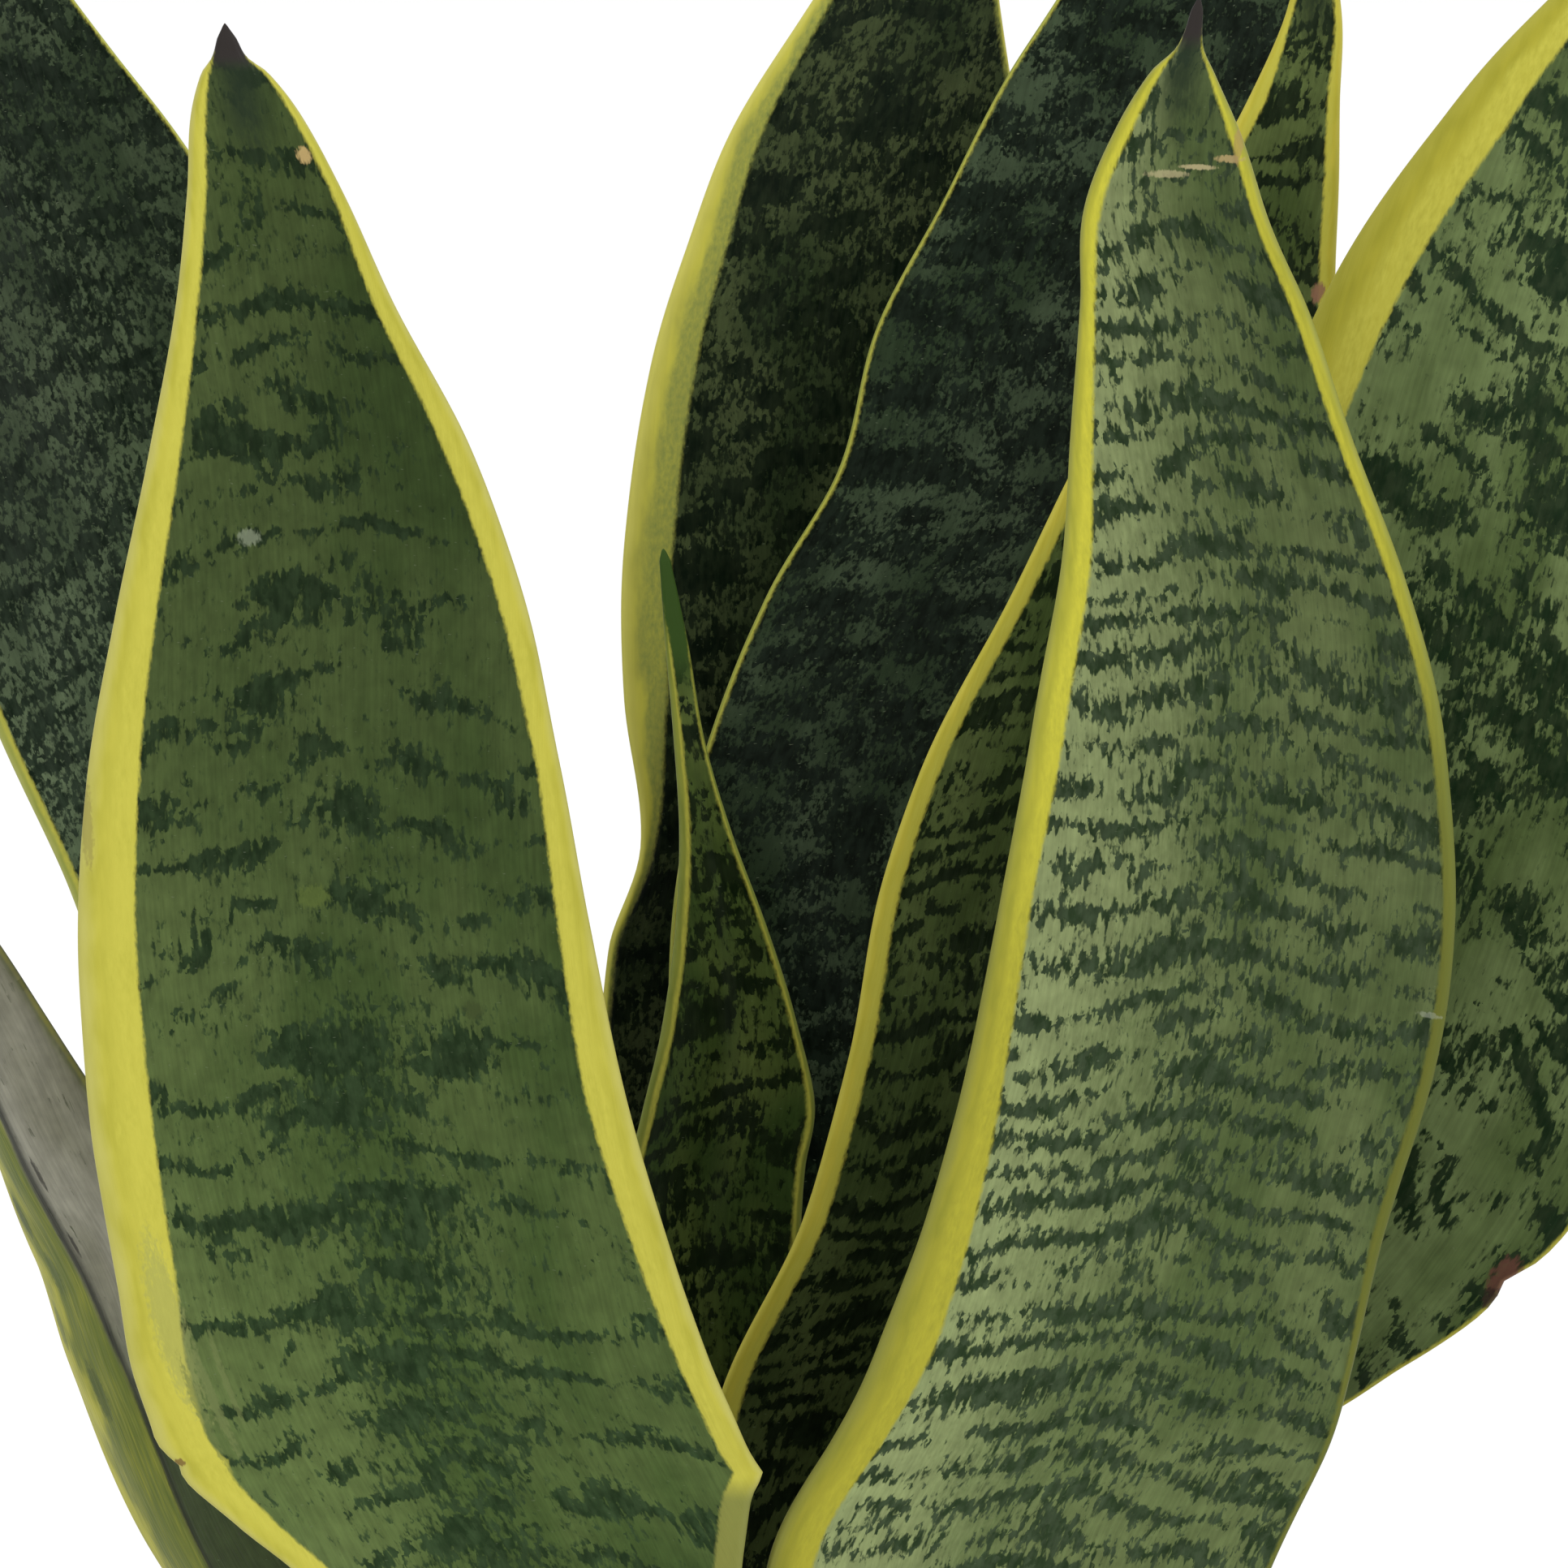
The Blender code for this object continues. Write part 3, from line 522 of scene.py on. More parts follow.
    "leaf_dark_middle": {
        "slot": "leaf_dark", "facing": (-10, -14), "seed": 79,
        "stations": (
            (0, 14, 22, 24, 6, 0.9, 0.9), (30, 10, 25, 30, 7, 0.9, 0.9), (56, 8.5, 27, 35.5, 7, 0.9, 0.9),
            (82, 10.5, 28.5, 43, 7, 0.9, 0.9), (114, 13.5, 29, 53.5, 7, 0.9, 0.9),
            (140.5, 16, 30, 59, 7, 0.9, 0.9), (161.5, 20.5, 30.5, 60.5, 7, 0.9, 0.9),
            (182, 28, 31.5, 59.5, 6.5, 0.9, 0.9), (198, 35, 32.5, 55.5, 6, 0.9, 0.9),
            (216, 39.5, 34, 55, 5.5, 0.8, 0.9), (232.5, 45, 35.5, 49, 5, 0.8, 0.9),
            (248.5, 49, 38, 40.5, 4, 0.8, 0.9), (258, 51.5, 39, 33.5, 3, 0.8, 0.9),
            (273, 55.5, 41.5, 22, 1.8, 0.8, 0.8), (287.6, 58.3, 43.6, 8.3, 0.6, 0.6, 0.6),
            (297.4, 59.3, 45, 1.5, 0, 0, 0),
        ),
        "skin": {
            "light": ((0.02, 0.035, 0.015), (0.042, 0.062, 0.032)),
            "dark": ((0.002, 0.005, 0.002), (0.009, 0.016, 0.009)), "sheenShare": 0,
            "period": 7, "bandGain": 0.1, "fibre": (0.5, 0.8), "cell": (0.6, 0.8), "threshold": -0.12,
            "patchGain": 1.1, "midGain": 0, "flecks": 0.5,
            "yellow": ((0.3, 0.32, 0.06), (0.22, 0.25, 0.05)), "edgeYellow": (0.3, 0.31, 0.08),
        },
    },
    "leaf_tall_back": {
        "slot": "leaf_dark", "facing": (5, 12), "seed": 97,
        "stations": (
            (0, -6, 34, 24, 6, 1.5, 0.8), (26, -1, 40, 27, 6, 1.5, 0.8), (51, -0.5, 42, 36.5, 6, 1.5, 0.8),
            (77, 1, 43.5, 44.5, 6, 1.2, 0.8), (109.5, 1.5, 45.5, 53, 6, 1.2, 0.8),
            (136.5, 3.5, 47, 55.5, 6, 1.2, 0.9), (150, 6, 47.5, 52.5, 6, 2, 1),
            (169, 5.5, 49, 55.5, 6, 6.2, 1), (189.5, 5.5, 50.5, 55, 5.5, 6.8, 1),
            (210, 6.5, 52.5, 50.5, 5, 6.4, 1), (225, 8.7, 54.5, 45.1, 4, 5.6, 1),
            (240.5, 11.1, 56.5, 37.3, 3, 4.4, 1), (255, 14.9, 59, 25.7, 1.8, 2.8, 1),
            (266.5, 18.2, 61, 15.5, 0.8, 1.6, 0.8), (276.4, 20.8, 63, 5.4, 0.2, 0.6, 0.5),
            (283.2, 21.9, 64, 1.5, 0, 0, 0),
        ),
        "skin": {
            "light": ((0.018, 0.03, 0.01), (0.045, 0.06, 0.022)),
            "dark": ((0.002, 0.006, 0.002), (0.009, 0.015, 0.006)), "sheenShare": 0,
            "period": 8, "bandGain": 0.48, "bandSharp": 1.6, "fibre": (0.55, 1), "cell": (0.7, 1),
            "threshold": 0.06, "midGain": 0.2, "innerFrom": 0.4,
            "yellow": ((0.46, 0.43, 0.06), (0.38, 0.36, 0.06)), "edgeYellow": (0.48, 0.45, 0.1),
            "innerYellow": (0.2, 0.23, 0.055), "marginBlur": 0.7,
        },
    },
    "leaf_back_left": {
        "slot": "leaf_dark", "facing": (30, 22), "slant": 1, "seed": 113,
        "stations": (
            (0, -30, 22, 22, 6, 1.5, 0.7), (26, -41, 33, 27, 6, 1.5, 0.7), (56, -49, 43, 39.5, 6, 1.5, 0.7),
            (87, -52.7, 45.5, 48.9, 6, 1.5, 0.7), (119.5, -61.2, 48, 51.3, 6, 1.6, 0.7),
            (152, -70.7, 50.5, 52.3, 6, 1.6, 0.7), (176.5, -80.2, 52.5, 54.3, 6, 1.6, 0.7),
            (202, -89.2, 55, 53.3, 5.5, 1.6, 0.7), (223.5, -97, 57.5, 49, 5, 1.5, 0.7),
            (244, -104.1, 60.5, 36.5, 3.5, 1.4, 0.7), (260.5, -108.2, 63, 23, 2, 1.2, 0.7),
            (272, -109.7, 64.9, 8.1, 0.4, 0.6, 0.4), (278.7, -111.9, 66, 1.5, 0, 0, 0),
        ),
        "skin": {
            "light": ((0.021, 0.034, 0.015), (0.046, 0.065, 0.033)),
            "dark": ((0.002, 0.006, 0.002), (0.01, 0.017, 0.009)),
            "pale": (0.08, 0.1, 0.06), "sheenShare": 0.2, "lowLift": 2.4, "lowAlong": (135, 235),
            "period": 7.5, "bandGain": 0.25, "fibre": (0.6, 1), "cell": (0.7, 1), "threshold": 0,
            "midGain": 0.1, "flecks": 0.4,
            "yellow": ((0.36, 0.37, 0.08), (0.26, 0.29, 0.06)), "edgeYellow": (0.34, 0.35, 0.11),
        },
    },
}

# papery scale leaves at the foot of the plant
sheathSkin = {
    "light": ((0.26, 0.25, 0.11), (0.34, 0.31, 0.16)),
    "dark": ((0.1, 0.12, 0.05), (0.16, 0.15, 0.07)),
    "period": 6, "bandGain": 0.2, "fibre": (0.6, 5), "threshold": 0.35, "patchGain": 0.6,
    "midGain": 0.2, "tip": (0.2, 0.13, 0.07), "tipReach": 14, "spike": (0.16, 0.095, 0.055),
    "yellow": ((0.42, 0.36, 0.18), (0.34, 0.27, 0.13)), "edgeYellow": (0.4, 0.32, 0.18),
    "innerYellow": (0.4, 0.34, 0.16), "roughness": 0.6, "marginBlur": 1,
}
scaleLeaf = {"slot": "leaf_sheath", "blade": 2.4, "rings": 70, "acrossSteps": 16, "skin": sheathSkin}
shortLeaves = {
    "scale_leaf_front": {
        "facing": (180, 180), "seed": 131,
        "stations": (
            (0, -13, -41, 12, 3, 1.2, 1.2), (14, -14, -47.5, 14, 3.5, 1.2, 1.2),
            (27, -16, -54, 12, 3, 1, 1), (36, -17.5, -59, 6.5, 1, 0.8, 0.8), (40, -18, -61, 1.4, 0, 0, 0),
        ),
    },
    "scale_leaf_left": {
        "facing": (100, 95), "seed": 137,
        "stations": (
            (0, -43, 3, 11, 3.5, 1.2, 1.2), (16, -48, 3, 14, 4, 1.2, 1.2), (32, -54, 3, 13, 3, 1, 1),
            (43, -59, 3, 7, 1, 0.8, 0.8), (48, -61, 3, 1.4, 0, 0, 0),
        ),
    },
    "scale_leaf_right": {
        "facing": (-115, -110), "seed": 149,
        "stations": (
            (0, 36, 16, 16, 4, 1.2, 1.2), (18, 41, 18, 18, 5, 1.2, 1.2), (36, 47, 21, 15, 3.5, 1, 1),
            (49, 52, 24, 7, 1, 0.8, 0.8), (54, 54, 25, 1.4, 0, 0, 0),
        ),
    },
    "scale_leaf_back": {
        "facing": (-12, -8), "seed": 151,
        "stations": (
            (0, 14, 39, 16, 4, 1.2, 1.2), (16, 16, 46, 18, 4.5, 1.2, 1.2), (31, 18, 52, 15, 3.5, 1, 1),
            (42, 19, 57, 7, 1, 0.8, 0.8), (46, 19.5, 59, 1.4, 0, 0, 0),
        ),
    },
}


def throughKnots(knots, values, at):
    # cubic through the knots, each slope taken from the neighbours
    last = len(knots) - 1
    before = np.maximum(np.arange(last + 1) - 1, 0)
    after = np.minimum(np.arange(last + 1) + 1, last)
    slopes = (values[after] - values[before]) / (knots[after] - knots[before])
    index = np.clip(np.searchsorted(knots, at, side="left") - 1, 0, last - 1)
    gap = knots[index + 1] - knots[index]
    t = (at - knots[index]) / gap
    return (
        (2 * t**3 - 3 * t**2 + 1) * values[index]
        + (t**3 - 2 * t**2 + t) * gap * slopes[index]
        + (3 * t**2 - 2 * t**3) * values[index + 1]
        + (t**3 - t**2) * gap * slopes[index + 1]
    )


def leafRows(leaf):
    # the stations as numbers, and how far along the leaf each one is
    rows = np.array(leaf["stations"], float)
    steps = np.linalg.norm(np.diff(rows[:, :3], axis=0), axis=1)
    return rows, np.concatenate(([0.0], np.cumsum(steps)))


def placedSpots(leaf):
    rows, knots = leafRows(leaf)
    found = []
    for height, share, wide, long, colour, strength in leaf["marks"]:
        half = np.interp(height, rows[:, 0], rows[:, 3]) / 2
        found.append({
            "across": float(share * half), "along": float(np.interp(height, rows[:, 0], knots)),
            "size": (wide, long), "colour": colour, "strength": strength,
        })
    return found


def leafRun(leaf, at, knots, rows):
    # centre, side and facing directions, width and channel at each distance, in mm
    z, x, y = (throughKnots(knots, rows[:, column], at) for column in (0, 1, 2))
    centre = np.stack((x, y, z), axis=1)
    width = np.maximum(throughKnots(knots, rows[:, 3], at), leaf["leastWidth"])
    width = width * np.sqrt(np.clip((knots[-1] + 0.02 - at) / leaf["tipRound"], 0, 1))
    channel = np.maximum(throughKnots(knots, rows[:, 4], at), 0.0)
    reach = knots[-1] * leaf["slopeShare"]
    ahead, behind = np.minimum(at + reach, knots[-1]), np.maximum(at - reach, 0.0)
    climb = [
        throughKnots(knots, rows[:, column], ahead) - throughKnots(knots, rows[:, column], behind)
        for column in (1, 2, 0)
    ]
    along = np.stack(climb, axis=1)
    along /= np.linalg.norm(along, axis=1, keepdims=True)
    root, tip = leaf["facing"]
    facing = np.radians(root + (tip - root) * np.minimum(1.0, 2.0 * at / knots[-1]))
    level = np.stack((np.cos(facing), np.sin(facing), np.zeros_like(facing)), axis=1)
    freed = np.minimum(1.0, at / leaf["levelRoot"])[:, None]
    along = np.array((0.0, 0.0, 1.0)) * (1 - freed) + along * freed
    # a slanting leaf turns its width square to its own run
    tilt = -leaf["slant"] * np.arctan2((along * level).sum(axis=1), along[:, 2])
    side = level * np.cos(tilt)[:, None]
    side[:, 2] += np.sin(tilt)
    normal = np.cross(side, along)
    normal /= np.linalg.norm(normal, axis=1, keepdims=True)
    return centre, side, normal, width, channel


def leafBorders(leaf, at, width, knots, rows):
    # the left and right half widths, a little wavy, with the notches cut in
    size = leaf["edgeWave"] * np.minimum(1, width / 20)
    halves = {}
    for shift, border in enumerate(("left", "right"), 1):
        wavy = softWave(at / leaf["edgeWaveLong"], np.full_like(at, 0.5), leaf["seed"] + shift)
        halves[border] = width / 2 + size * wavy
    for border, height, length, deep in leaf["notches"]:
        place = np.interp(height, rows[:, 0], knots)
        halves[border] = halves[border] - deep * np.exp(-(np.abs((at - place) / length) ** 1.3))
    return halves["left"][:, None], halves["right"][:, None]


def makeLeaf(name, leaf):
    rows, knots = leafRows(leaf)
    at = knots[-1] * (1 - (1 - np.linspace(0, 1, leaf["rings"])) ** leaf["crowding"])
    centre, side, normal, width, channel = leafRun(leaf, at, knots, rows)
    margins = [np.interp(at, knots, rows[:, column]) for column in (5, 6)]
    # straight root under the soil
    under = np.array([1.0, 0.5]) * leaf["plantDepth"]
    sunk = centre[:1] - np.stack((under * 0, under * 0, under), axis=1)
    centre = np.concatenate((sunk, centre))
    side, normal, width, channel, *margins = (
        np.concatenate((np.repeat(v[:1], len(under), axis=0), v))
        for v in (side, normal, width, channel, *margins)
    )
    at = np.concatenate((-under, at))
    # the section: offset across, inset from the border, lift of the channel, depth of the flesh
    share = np.sin(np.linspace(-1, 1, leaf["acrossSteps"] * 2 + 1) * math.pi / 2)
    s = np.broadcast_to(share, (len(at), len(share)))
    a = np.broadcast_to(at[:, None], s.shape)
    reach = np.where(s < 0, *leafBorders(leaf, at, width, knots, rows))
    rim = np.where(s < 0, margins[0][:, None], margins[1][:, None])
    offset = s * reach
    inset = (1 - np.abs(s)) * reach
    thick = np.minimum(leaf["blade"], leaf["bladeShare"] * width)
    edge = np.minimum(leaf["margin"], leaf["marginShare"] * width)
    depthHere = edge[:, None] + (thick - edge)[:, None] * (1 - s * s)
    capStart = 1 - (edge[:, None] * leaf["roundShare"]) / reach
    past = np.clip((np.abs(s) - capStart) / (1 - capStart), 0, 1)
    cap = np.sqrt(np.maximum(0, 1 - past**2))
    lip = leaf["lip"] * np.minimum(1, width / 25)[:, None] * np.sin(
        math.pi * np.clip(inset / np.maximum(rim * 1.15, 0.3), 0, 1)
    )
    (broadWide, broadLong), (smallWide, smallLong) = leaf["broadWave"], leaf["smallWave"]
    broad = softWave(offset / broadWide, a / broadLong, leaf["seed"] + 3)
    small = softWave(offset / smallWide, a / smallLong, leaf["seed"] + 4)
    waveSize = leaf["faceWave"] * np.minimum(1, width / 30)[:, None]
    wave = waveSize * (broad + leaf["smallShare"] * small)
    lift = channel[:, None] * np.abs(s) ** leaf["channelPower"] + wave
    out, turned = normal[:, None, :], side[:, None, :]
    middle = centre[:, None, :] + turned * offset[:, :, None] + out * lift[:, :, None]
    front = middle + out * ((depthHere / 2 + lip) * cap)[:, :, None]
    back = middle - out * ((depthHere / 2 + lip * leaf["lipBehind"]) * cap)[:, :, None]
    points = np.concatenate((front, back[:, -2:0:-1, :]), axis=1)
    loop = points.shape[1]
    points = points.reshape(-1, 3) * mm
    points[:, 2] += soilTop
    points = np.vstack((points, points[:loop].mean(axis=0), points[-loop:].mean(axis=0)))
    faces = ringFaces(len(at), loop) + poleFaces(len(at), loop)
    piece = newPiece(name + "_skin", points, [(face[0], *face[:0:-1]) for face in faces])
    # what the skin reads at each point
    mesh = piece.data
    fields = {"across": offset, "along": a, "inset": inset, "rim": rim, "share": s}
    fields["fromTip"] = knots[-1] - a
    fields = {key: np.concatenate((v, v[:, -2:0:-1]), axis=1) for key, v in fields.items()}
    fields["back"] = np.zeros((len(at), loop))
    fields["back"][:, len(share):] = 1.0
    for key, value in fields.items():
        data = np.concatenate((value.reshape(-1), (value[0].mean(), value[-1].mean())))
        mesh.attributes.new(key, "FLOAT", "POINT").data.foreach_set("value", data.astype(np.float32))
    # the front fills the left half of the map and the back the right half
    corners = np.zeros(len(mesh.loops), np.int32)
    mesh.loops.foreach_get("vertex_index", corners)
    u, v, behind = (np.concatenate((fields[k].reshape(-1), (0, 0))) for k in ("across", "along", "back"))
    wide, tall = leaf["uvSize"]
    u = u / wide + leaf["uvMiddle"] + behind * leaf["uvBack"]
    spread = np.stack((u, v / tall), axis=1)[corners]
    mesh.uv_layers.new(name="leafUv").data.foreach_set("uv", spread.astype(np.float32).reshape(-1))
    fix = bmesh.new()
    fix.from_mesh(mesh)
    bmesh.ops.recalc_face_normals(fix, faces=fix.faces)
    fix.to_mesh(mesh)
    fix.free()
    return piece


leaves = {name: {**anyLeaf, **leaf} for name, leaf in plantLeaves.items()}
leaves.update({name: {**anyLeaf, **scaleLeaf, **leaf} for name, leaf in shortLeaves.items()})
for name, leaf in leaves.items():
    piece = makeLeaf(name, leaf)
    piece.data.materials.append(leafSkin(name + "_skin", leaf["skin"], leaf["seed"], placedSpots(leaf)))
    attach(piece, "root")
    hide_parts(name)
print("leaves made:", len(leaves))


# the pot keeps its CAD shape: scales are noise per metre, dampTop and the salt line are in metres
clay = {
    "body": ((0.33, 0.115, 0.055), (0.45, 0.180, 0.092)), "bodyScale": 26,
    "bloom": (0.58, 0.42, 0.33), "bloomScale": 48, "bloomShare": 0.55,
    "damp": (0.30, 0.115, 0.065), "dampTop": 0.016, "dampFade": 0.016, "dampWander": 0.030,
    "dampShare": 0.8, "saltRise": 0.017, "saltWide": 0.0022, "saltShare": 0.45,
    "grit": (0.24, 0.095, 0.055), "gritScale": 1400, "gritShare": 0.55,
    "poreScale": 900, "turningScale": 420.0, "relief": (0.5, 0.3), "roughness": 0.85, "specular": 0.3,
}


def clayMaterial():
    material, tree, shader = newMaterial("fired_clay", clay["roughness"], clay["specular"])
    place = addNode(tree, "ShaderNodeTexCoord").outputs["Object"]
    high = step(tree, "ShaderNodeSeparateXYZ", {0: place})["Z"]
    body = tint(tree, ease(tree, noise(tree, place, clay["bodyScale"], 3, 0.6), 0.35, 0.65), *clay["body"])
    cloud = noise(tree, place, clay["bloomScale"], 4, 0.65, 0.5)
    body = tint(tree, ease(tree, cloud, 0.54, 0.74, 0.0, clay["bloomShare"]), body, clay["bloom"])
    # the foot stays damp, with a pale salt line where it dries
    level = calc(tree, "MULTIPLY_ADD", cloud, clay["dampWander"], high)
    damp = ease(tree, level, clay["dampTop"], clay["dampTop"] + clay["dampFade"], clay["dampShare"], 0.0)
    body = tint(tree, damp, body, clay["damp"])
    line = bell(tree, total(tree, level, -clay["dampTop"] - clay["saltRise"]), clay["saltWide"])
    body = tint(tree, times(tree, line, clay["saltShare"]), body, clay["bloom"])
    grit = ease(tree, noise(tree, place, clay["gritScale"], 1, 0.6), 0.62, 0.72, 0.0, clay["gritShare"])
    plug(tree, tint(tree, grit, body, clay["grit"]), shader.inputs["Base Color"])
    # pores, and faint rings from the turning
    ringPlace = combine(tree, 0.0, 0.0, times(tree, high, clay["turningScale"]))
    rings = noise(tree, ringPlace, 1.0, 2, 0.6)
    pores = noise(tree, place, clay["poreScale"], 1, 0.6)
    addBump(tree, shader, total(tree, times(tree, pores, 0.4), times(tree, rings, 0.6)), *clay["relief"])
    return material


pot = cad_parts["pot"]
pot.data.materials.clear()
pot.data.materials.append(clayMaterial())
print("pot made")


# the crust of the soil, in mm: its top is sunk a little, and rolls down to the pot's wall
soilCrust = {
    "radius": 58.5, "foot": 42.0, "base": 7.5, "rings": 46, "sides": 150, "sink": 0.8,
    "rollWide": 3.0, "rollDrop": 2.0, "edgeDrop": 4.0, "edgeShare": 0.12,
    "bump": 1.1, "waves": ((9, 1.0), (3.6, 0.6), (1.6, 0.35)), "seed": 7.0,
    "colours": ((0.014, 0.009, 0.006), (0.062, 0.038, 0.023)), "grain": 600, "roughness": 0.95,
}
# the bed that the loose bits are sown on, just above the crust
seedBed = {"sink": 0.7, "rings": 24, "clear": 3.0}
# density per square metre, sizes in mm, grain as noise per metre
scatters = {
    "crumbs": {
        "density": 180000.0, "smallest": (0.6, 0.6, 0.5), "largest": (2.1, 2.1, 1.5), "tilt": 3.1,
        "rough": 0.55, "seed": 11, "colours": ((0.012, 0.008, 0.005), (0.075, 0.045, 0.026)), "grain": 700,
    },
    "bark": {
        "density": 9500.0, "smallest": (2.2, 1.4, 0.6), "largest": (5.5, 3.2, 1.3), "tilt": 0.5,
        "rough": 0.45, "seed": 23, "colours": ((0.040, 0.018, 0.009), (0.190, 0.095, 0.045)), "grain": 350,
    },
    "perlite": {
        "density": 13000.0, "smallest": (0.7, 0.7, 0.6), "largest": (1.9, 1.7, 1.4), "tilt": 3.1,
        "rough": 0.35, "seed": 37, "colours": ((0.62, 0.60, 0.56), (0.82, 0.81, 0.78)), "grain": 1500,
    },
}
pebble = {"subdivisions": 2, "lumpScale": 1.4, "lumpPush": 4.0, "roughness": 0.92}


def earthMaterial(name, dark, light, scale, roughness):
    material, tree, shader = newMaterial(name, roughness, 0.2)
    place = addNode(tree, "ShaderNodeTexCoord").outputs["Object"]
    grainy = noise(tree, place, scale, 3, 0.65)
    broad = noise(tree, place, scale * 0.2, 1, 0.5)
    mixed = calc(tree, "MULTIPLY_ADD", broad, 0.7, times(tree, grainy, 0.3))
    plug(tree, tint(tree, ease(tree, mixed, 0.38, 0.62), dark, light), shader.inputs["Base Color"])
    addBump(tree, shader, grainy, 0.6, 0.4)
    return material


def crustHeight(x, y):
    rough = 0.0
    for shift, (wide, share) in enumerate(soilCrust["waves"]):
        rough = rough + share * softWave(x / wide, y / wide, soilCrust["seed"] + shift)
    return soilCrust["bump"] * rough


def crustRing(radius):
    turn = np.arange(soilCrust["sides"]) * math.tau / soilCrust["sides"]
    return radius * np.cos(turn), radius * np.sin(turn)


def makeSoil():
    top, radius = soilTop * 1000, soilCrust["radius"]
    rows = []
    for ring in np.linspace(1.0, radius, soilCrust["rings"]):
        x, y = crustRing(ring)
        past = max(0.0, (ring - radius + soilCrust["rollWide"]) / soilCrust["rollWide"])
        roll = soilCrust["rollDrop"] * past ** 2
        rows.append(np.stack((x, y, top - soilCrust["sink"] + crustHeight(x, y) - roll), axis=1))
    # the sides go straight down to the foot
    for share in (soilCrust["edgeShare"], 1.0):
        x, y = crustRing(radius + (soilCrust["foot"] - radius) * share)
        low = top - soilCrust["edgeDrop"]
        rows.append(np.stack((x, y, np.full_like(x, low + (soilCrust["base"] - low) * share)), axis=1))
    points = np.vstack((*rows, rows[0].mean(axis=0), rows[-1].mean(axis=0)))
    faces = ringFaces(len(rows), soilCrust["sides"]) + poleFaces(len(rows), soilCrust["sides"])
    return newPiece("soil_crust", points * mm, faces)


def makeBed():
    rows = []
    for ring in np.linspace(0.5, soilCrust["radius"] - seedBed["clear"], seedBed["rings"]):
        x, y = crustRing(ring)
        rows.append(np.stack((x, y, soilTop * 1000 - seedBed["sink"] + crustHeight(x, y)), axis=1))
    bed = bpy.data.meshes.new("seed_bed")
    faces = ringFaces(len(rows), soilCrust["sides"])
    bed.from_pydata((np.concatenate(rows) * mm).tolist(), [], faces)
    return bed


def makeScatterTree():
    # pebbles of one rough shape, turned and stretched at random, sown over a surface
    tree = bpy.data.node_groups.new("sown_pebbles", "GeometryNodeTree")
    tree.interface.new_socket("Geometry", in_out="INPUT", socket_type="NodeSocketGeometry")
    kinds = {
        "Density": "NodeSocketFloat", "Seed": "NodeSocketInt", "Smallest": "NodeSocketVector",
        "Largest": "NodeSocketVector", "Tilt": "NodeSocketFloat", "Roughness": "NodeSocketFloat",
        "Material": "NodeSocketMaterial",
    }
    for label, kind in kinds.items():
        tree.interface.new_socket(label, in_out="INPUT", socket_type=kind)
    tree.interface.new_socket("Geometry", in_out="OUTPUT", socket_type="NodeSocketGeometry")
    given = addNode(tree, "NodeGroupInput").outputs
    bed = {"Mesh": given["Geometry"], "Density": given["Density"], "Seed": given["Seed"]}
    sown = step(tree, "GeometryNodeDistributePointsOnFaces", bed)
    # one pebble: a small ball pushed about by noise
    ball = step(tree, "GeometryNodeMeshIcoSphere", {"Radius": 1.0, "Subdivisions": pebble["subdivisions"]})
    place = addNode(tree, "GeometryNodeInputPosition").outputs[0]
    lumps = step(tree, "ShaderNodeTexNoise", {"Vector": place, "Scale": pebble["lumpScale"]})
    halfway = {0: lumps["Color"], 1: (0.5, 0.5, 0.5)}
    centred = step(tree, "ShaderNodeVectorMath", halfway, operation="SUBTRACT")[0]
    push = {0: centred, "Scale": times(tree, given["Roughness"], pebble["lumpPush"])}
    pushed = step(tree, "ShaderNodeVectorMath", push, operation="SCALE")[0]
    shaped = step(tree, "GeometryNodeSetPosition", {"Geometry": ball["Mesh"], "Offset": pushed})[0]
    # each pebble gets its own turn and size
    tilt = given["Tilt"]
    lowTilt = times(tree, tilt, -1.0)
    turns = (combine(tree, lowTilt, lowTilt, 0.0), combine(tree, tilt, tilt, math.tau))
    sizes = (given["Smallest"], given["Largest"])
    chances = []
    for shift, (least, most) in enumerate((turns, sizes), 1):
        limits = {"Min": least, "Max": most, "Seed": total(tree, given["Seed"], shift)}
        chances.append(step(tree, "FunctionNodeRandomValue", limits, data_type="FLOAT_VECTOR")["Value"])
    copies = {"Points": sown["Points"], "Instance": shaped, "Rotation": chances[0], "Scale": chances[1]}
    placed = step(tree, "GeometryNodeInstanceOnPoints", copies)[0]
    real = step(tree, "GeometryNodeRealizeInstances", {"Geometry": placed})[0]
    dressed = step(tree, "GeometryNodeSetMaterial", {"Geometry": real, "Material": given["Material"]})[0]
    step(tree, "NodeGroupOutput", {"Geometry": dressed})
    return tree


def sow(name, bed, tree, settings):
    piece = bpy.data.objects.new(name, bed)
    bpy.context.scene.collection.objects.link(piece)
    values = {
        "Density": settings["density"], "Seed": settings["seed"], "Tilt": settings["tilt"],
        "Smallest": tuple(v * mm for v in settings["smallest"]),
        "Largest": tuple(v * mm for v in settings["largest"]), "Roughness": settings["rough"],
        "Material": earthMaterial(name, *settings["colours"], settings["grain"], pebble["roughness"]),
    }
    modifier = piece.modifiers.new("sown", "NODES")
    modifier.node_group = tree
    for item in tree.interface.items_tree:
        if item.in_out == "INPUT" and item.name in values:
            modifier[item.identifier] = values[item.name]
    ready = piece.evaluated_get(bpy.context.evaluated_depsgraph_get())
    mesh = bpy.data.meshes.new_from_object(ready)
    mesh.name = name
    piece.modifiers.clear()
    piece.data = mesh
    return piece


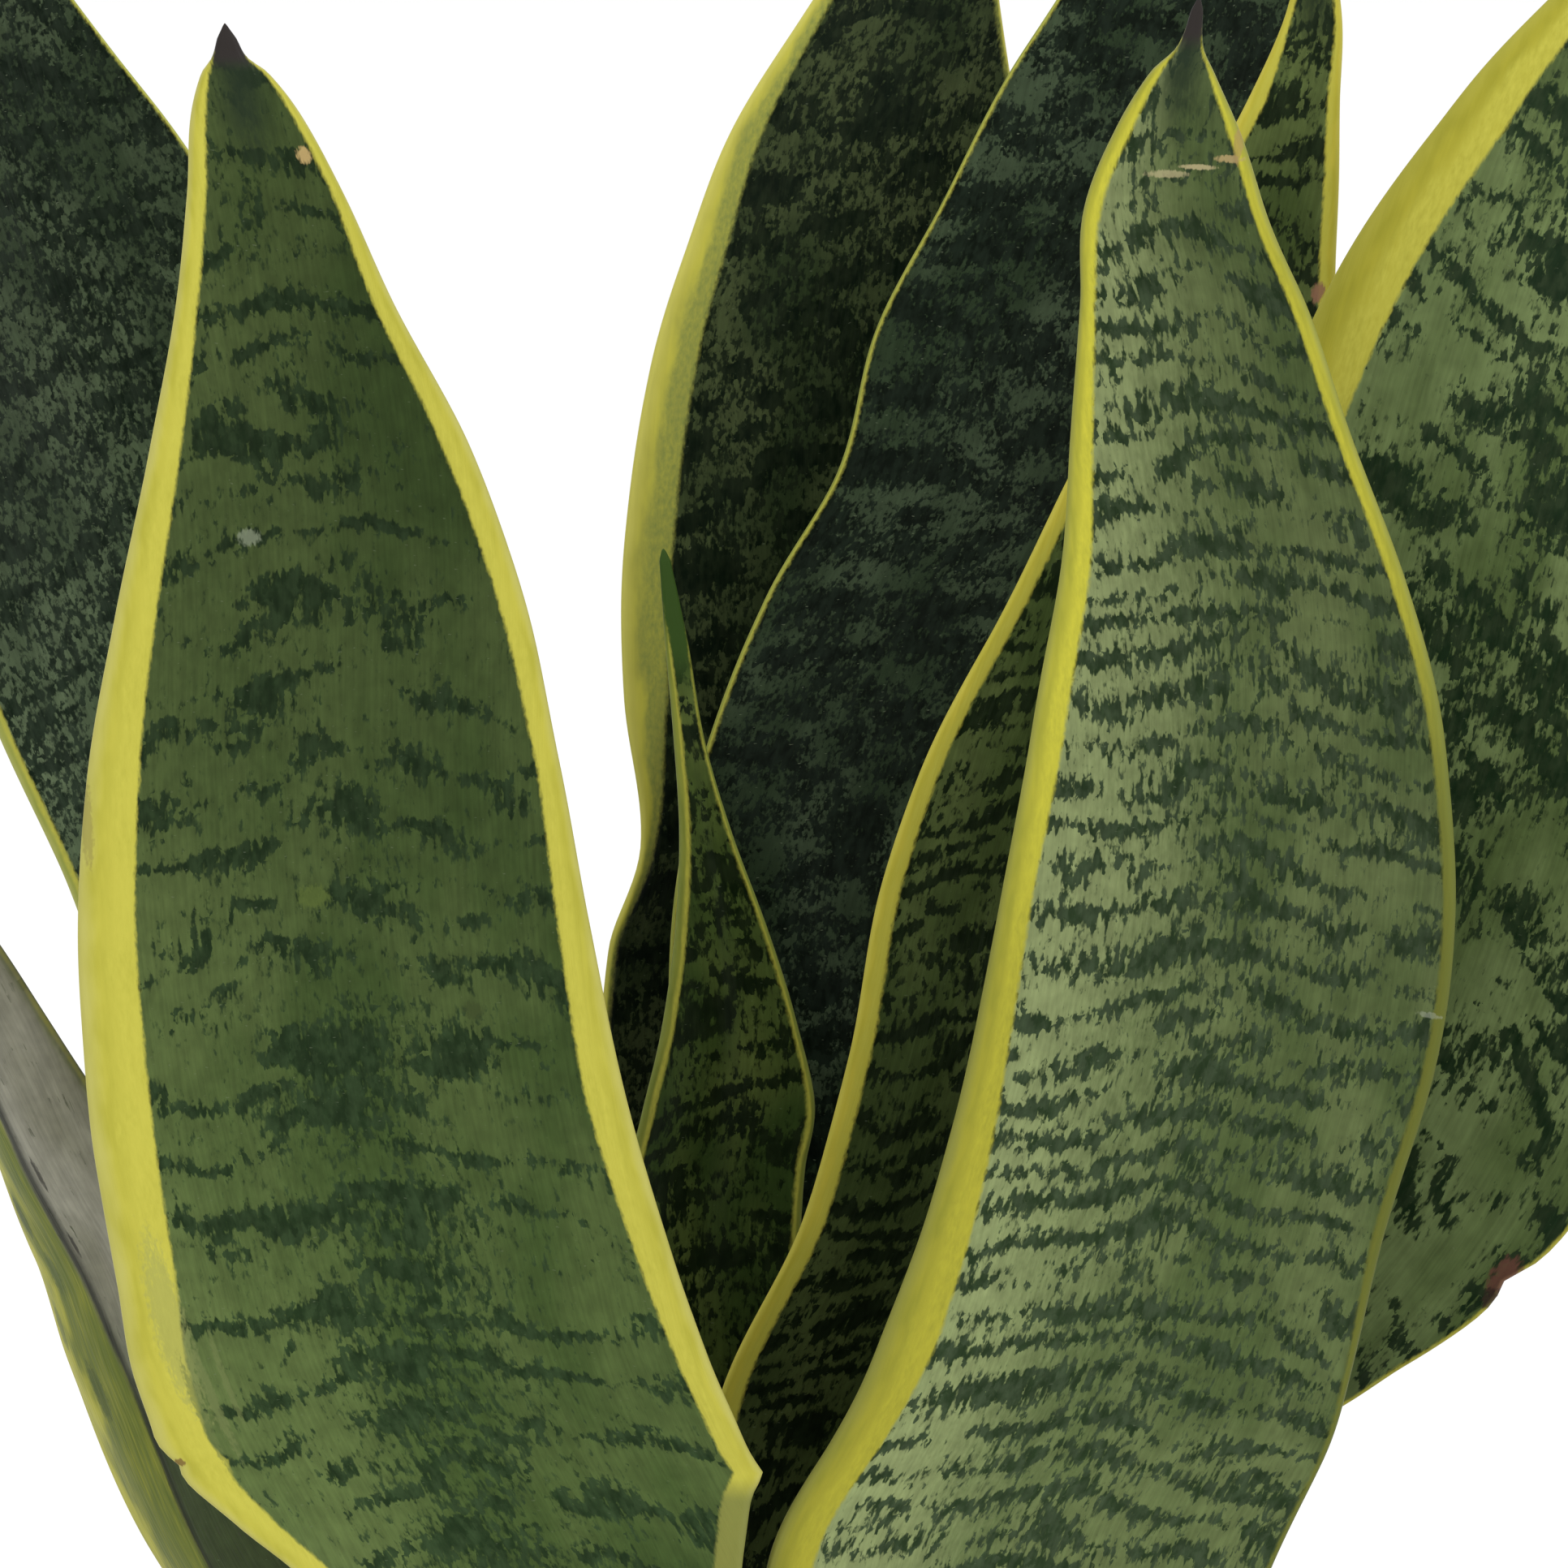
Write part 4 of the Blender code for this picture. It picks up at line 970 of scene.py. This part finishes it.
crust = makeSoil()
crustSkin = earthMaterial("soil_crust", *soilCrust["colours"], soilCrust["grain"], soilCrust["roughness"])
crust.data.materials.append(crustSkin)
bed = makeBed()
scatterTree = makeScatterTree()
soilPieces = [crust] + [sow("soil_" + name, bed, scatterTree, scatters[name]) for name in scatters]
for piece in soilPieces:
    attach(piece, "root")
    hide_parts("soil")
print("soil pieces:", [(piece.name, len(piece.data.polygons)) for piece in soilPieces])


# pale floor, plain world, two soft lamps and the camera, in metres and watts
studio = {"floorRadius": 14.0, "floorSides": 96, "floor": (0.86, 0.86, 0.86), "world": 1.16}
lamps = {
    "keyLamp": {"place": (1.3, -1.1, 1.1), "size": 0.9, "watts": 9.0},
    "topLamp": {"place": (-0.7, -0.5, 1.8), "size": 1.2, "watts": 4.0},
}
view = {"aim": (0.0, 0.0, 0.272), "elevation": 12.0, "distance": 0.9, "lens": 168.0}

turns = [math.tau * i / studio["floorSides"] for i in range(studio["floorSides"])]
radius = studio["floorRadius"]
floorMesh = bpy.data.meshes.new("floor")
corners = [(radius * math.cos(turn), radius * math.sin(turn), 0) for turn in turns]
floorMesh.from_pydata(corners, [], [tuple(range(len(turns)))])
floor = bpy.data.objects.new("floor", floorMesh)
bpy.context.scene.collection.objects.link(floor)
floorMaterial, floorTree, floorShader = newMaterial("pale_floor", 0.9, 0.1)
plug(floorTree, studio["floor"], floorShader.inputs["Base Color"])
floorMesh.materials.append(floorMaterial)

world = bpy.data.worlds.new("studio")
world.use_nodes = True
world.node_tree.nodes["Background"].inputs["Color"].default_value = (1, 1, 1, 1)
world.node_tree.nodes["Background"].inputs["Strength"].default_value = studio["world"]
bpy.context.scene.world = world
bpy.context.scene.view_settings.view_transform = "Standard"

aim = Vector(view["aim"])
for name, lamp in lamps.items():
    light = bpy.data.lights.new(name, "AREA")
    light.shape = "DISK"
    light.size = lamp["size"]
    light.energy = lamp["watts"]
    holder = bpy.data.objects.new(name, light)
    holder.location = lamp["place"]
    holder.rotation_euler = (aim - Vector(lamp["place"])).to_track_quat("-Z", "Y").to_euler()
    bpy.context.scene.collection.objects.link(holder)

cameraData = bpy.data.cameras.new("camera")
cameraData.lens = view["lens"]
cameraData.sensor_width = 36.0
cameraData.clip_end = 60.0
camera = bpy.data.objects.new("camera", cameraData)
rise = math.radians(view["elevation"])
camera.location = aim + Vector((0, -math.cos(rise), math.sin(rise))) * view["distance"]
camera.rotation_euler = (math.pi / 2 - rise, 0, 0)
bpy.context.scene.collection.objects.link(camera)
bpy.context.scene.camera = camera
print("studio made")
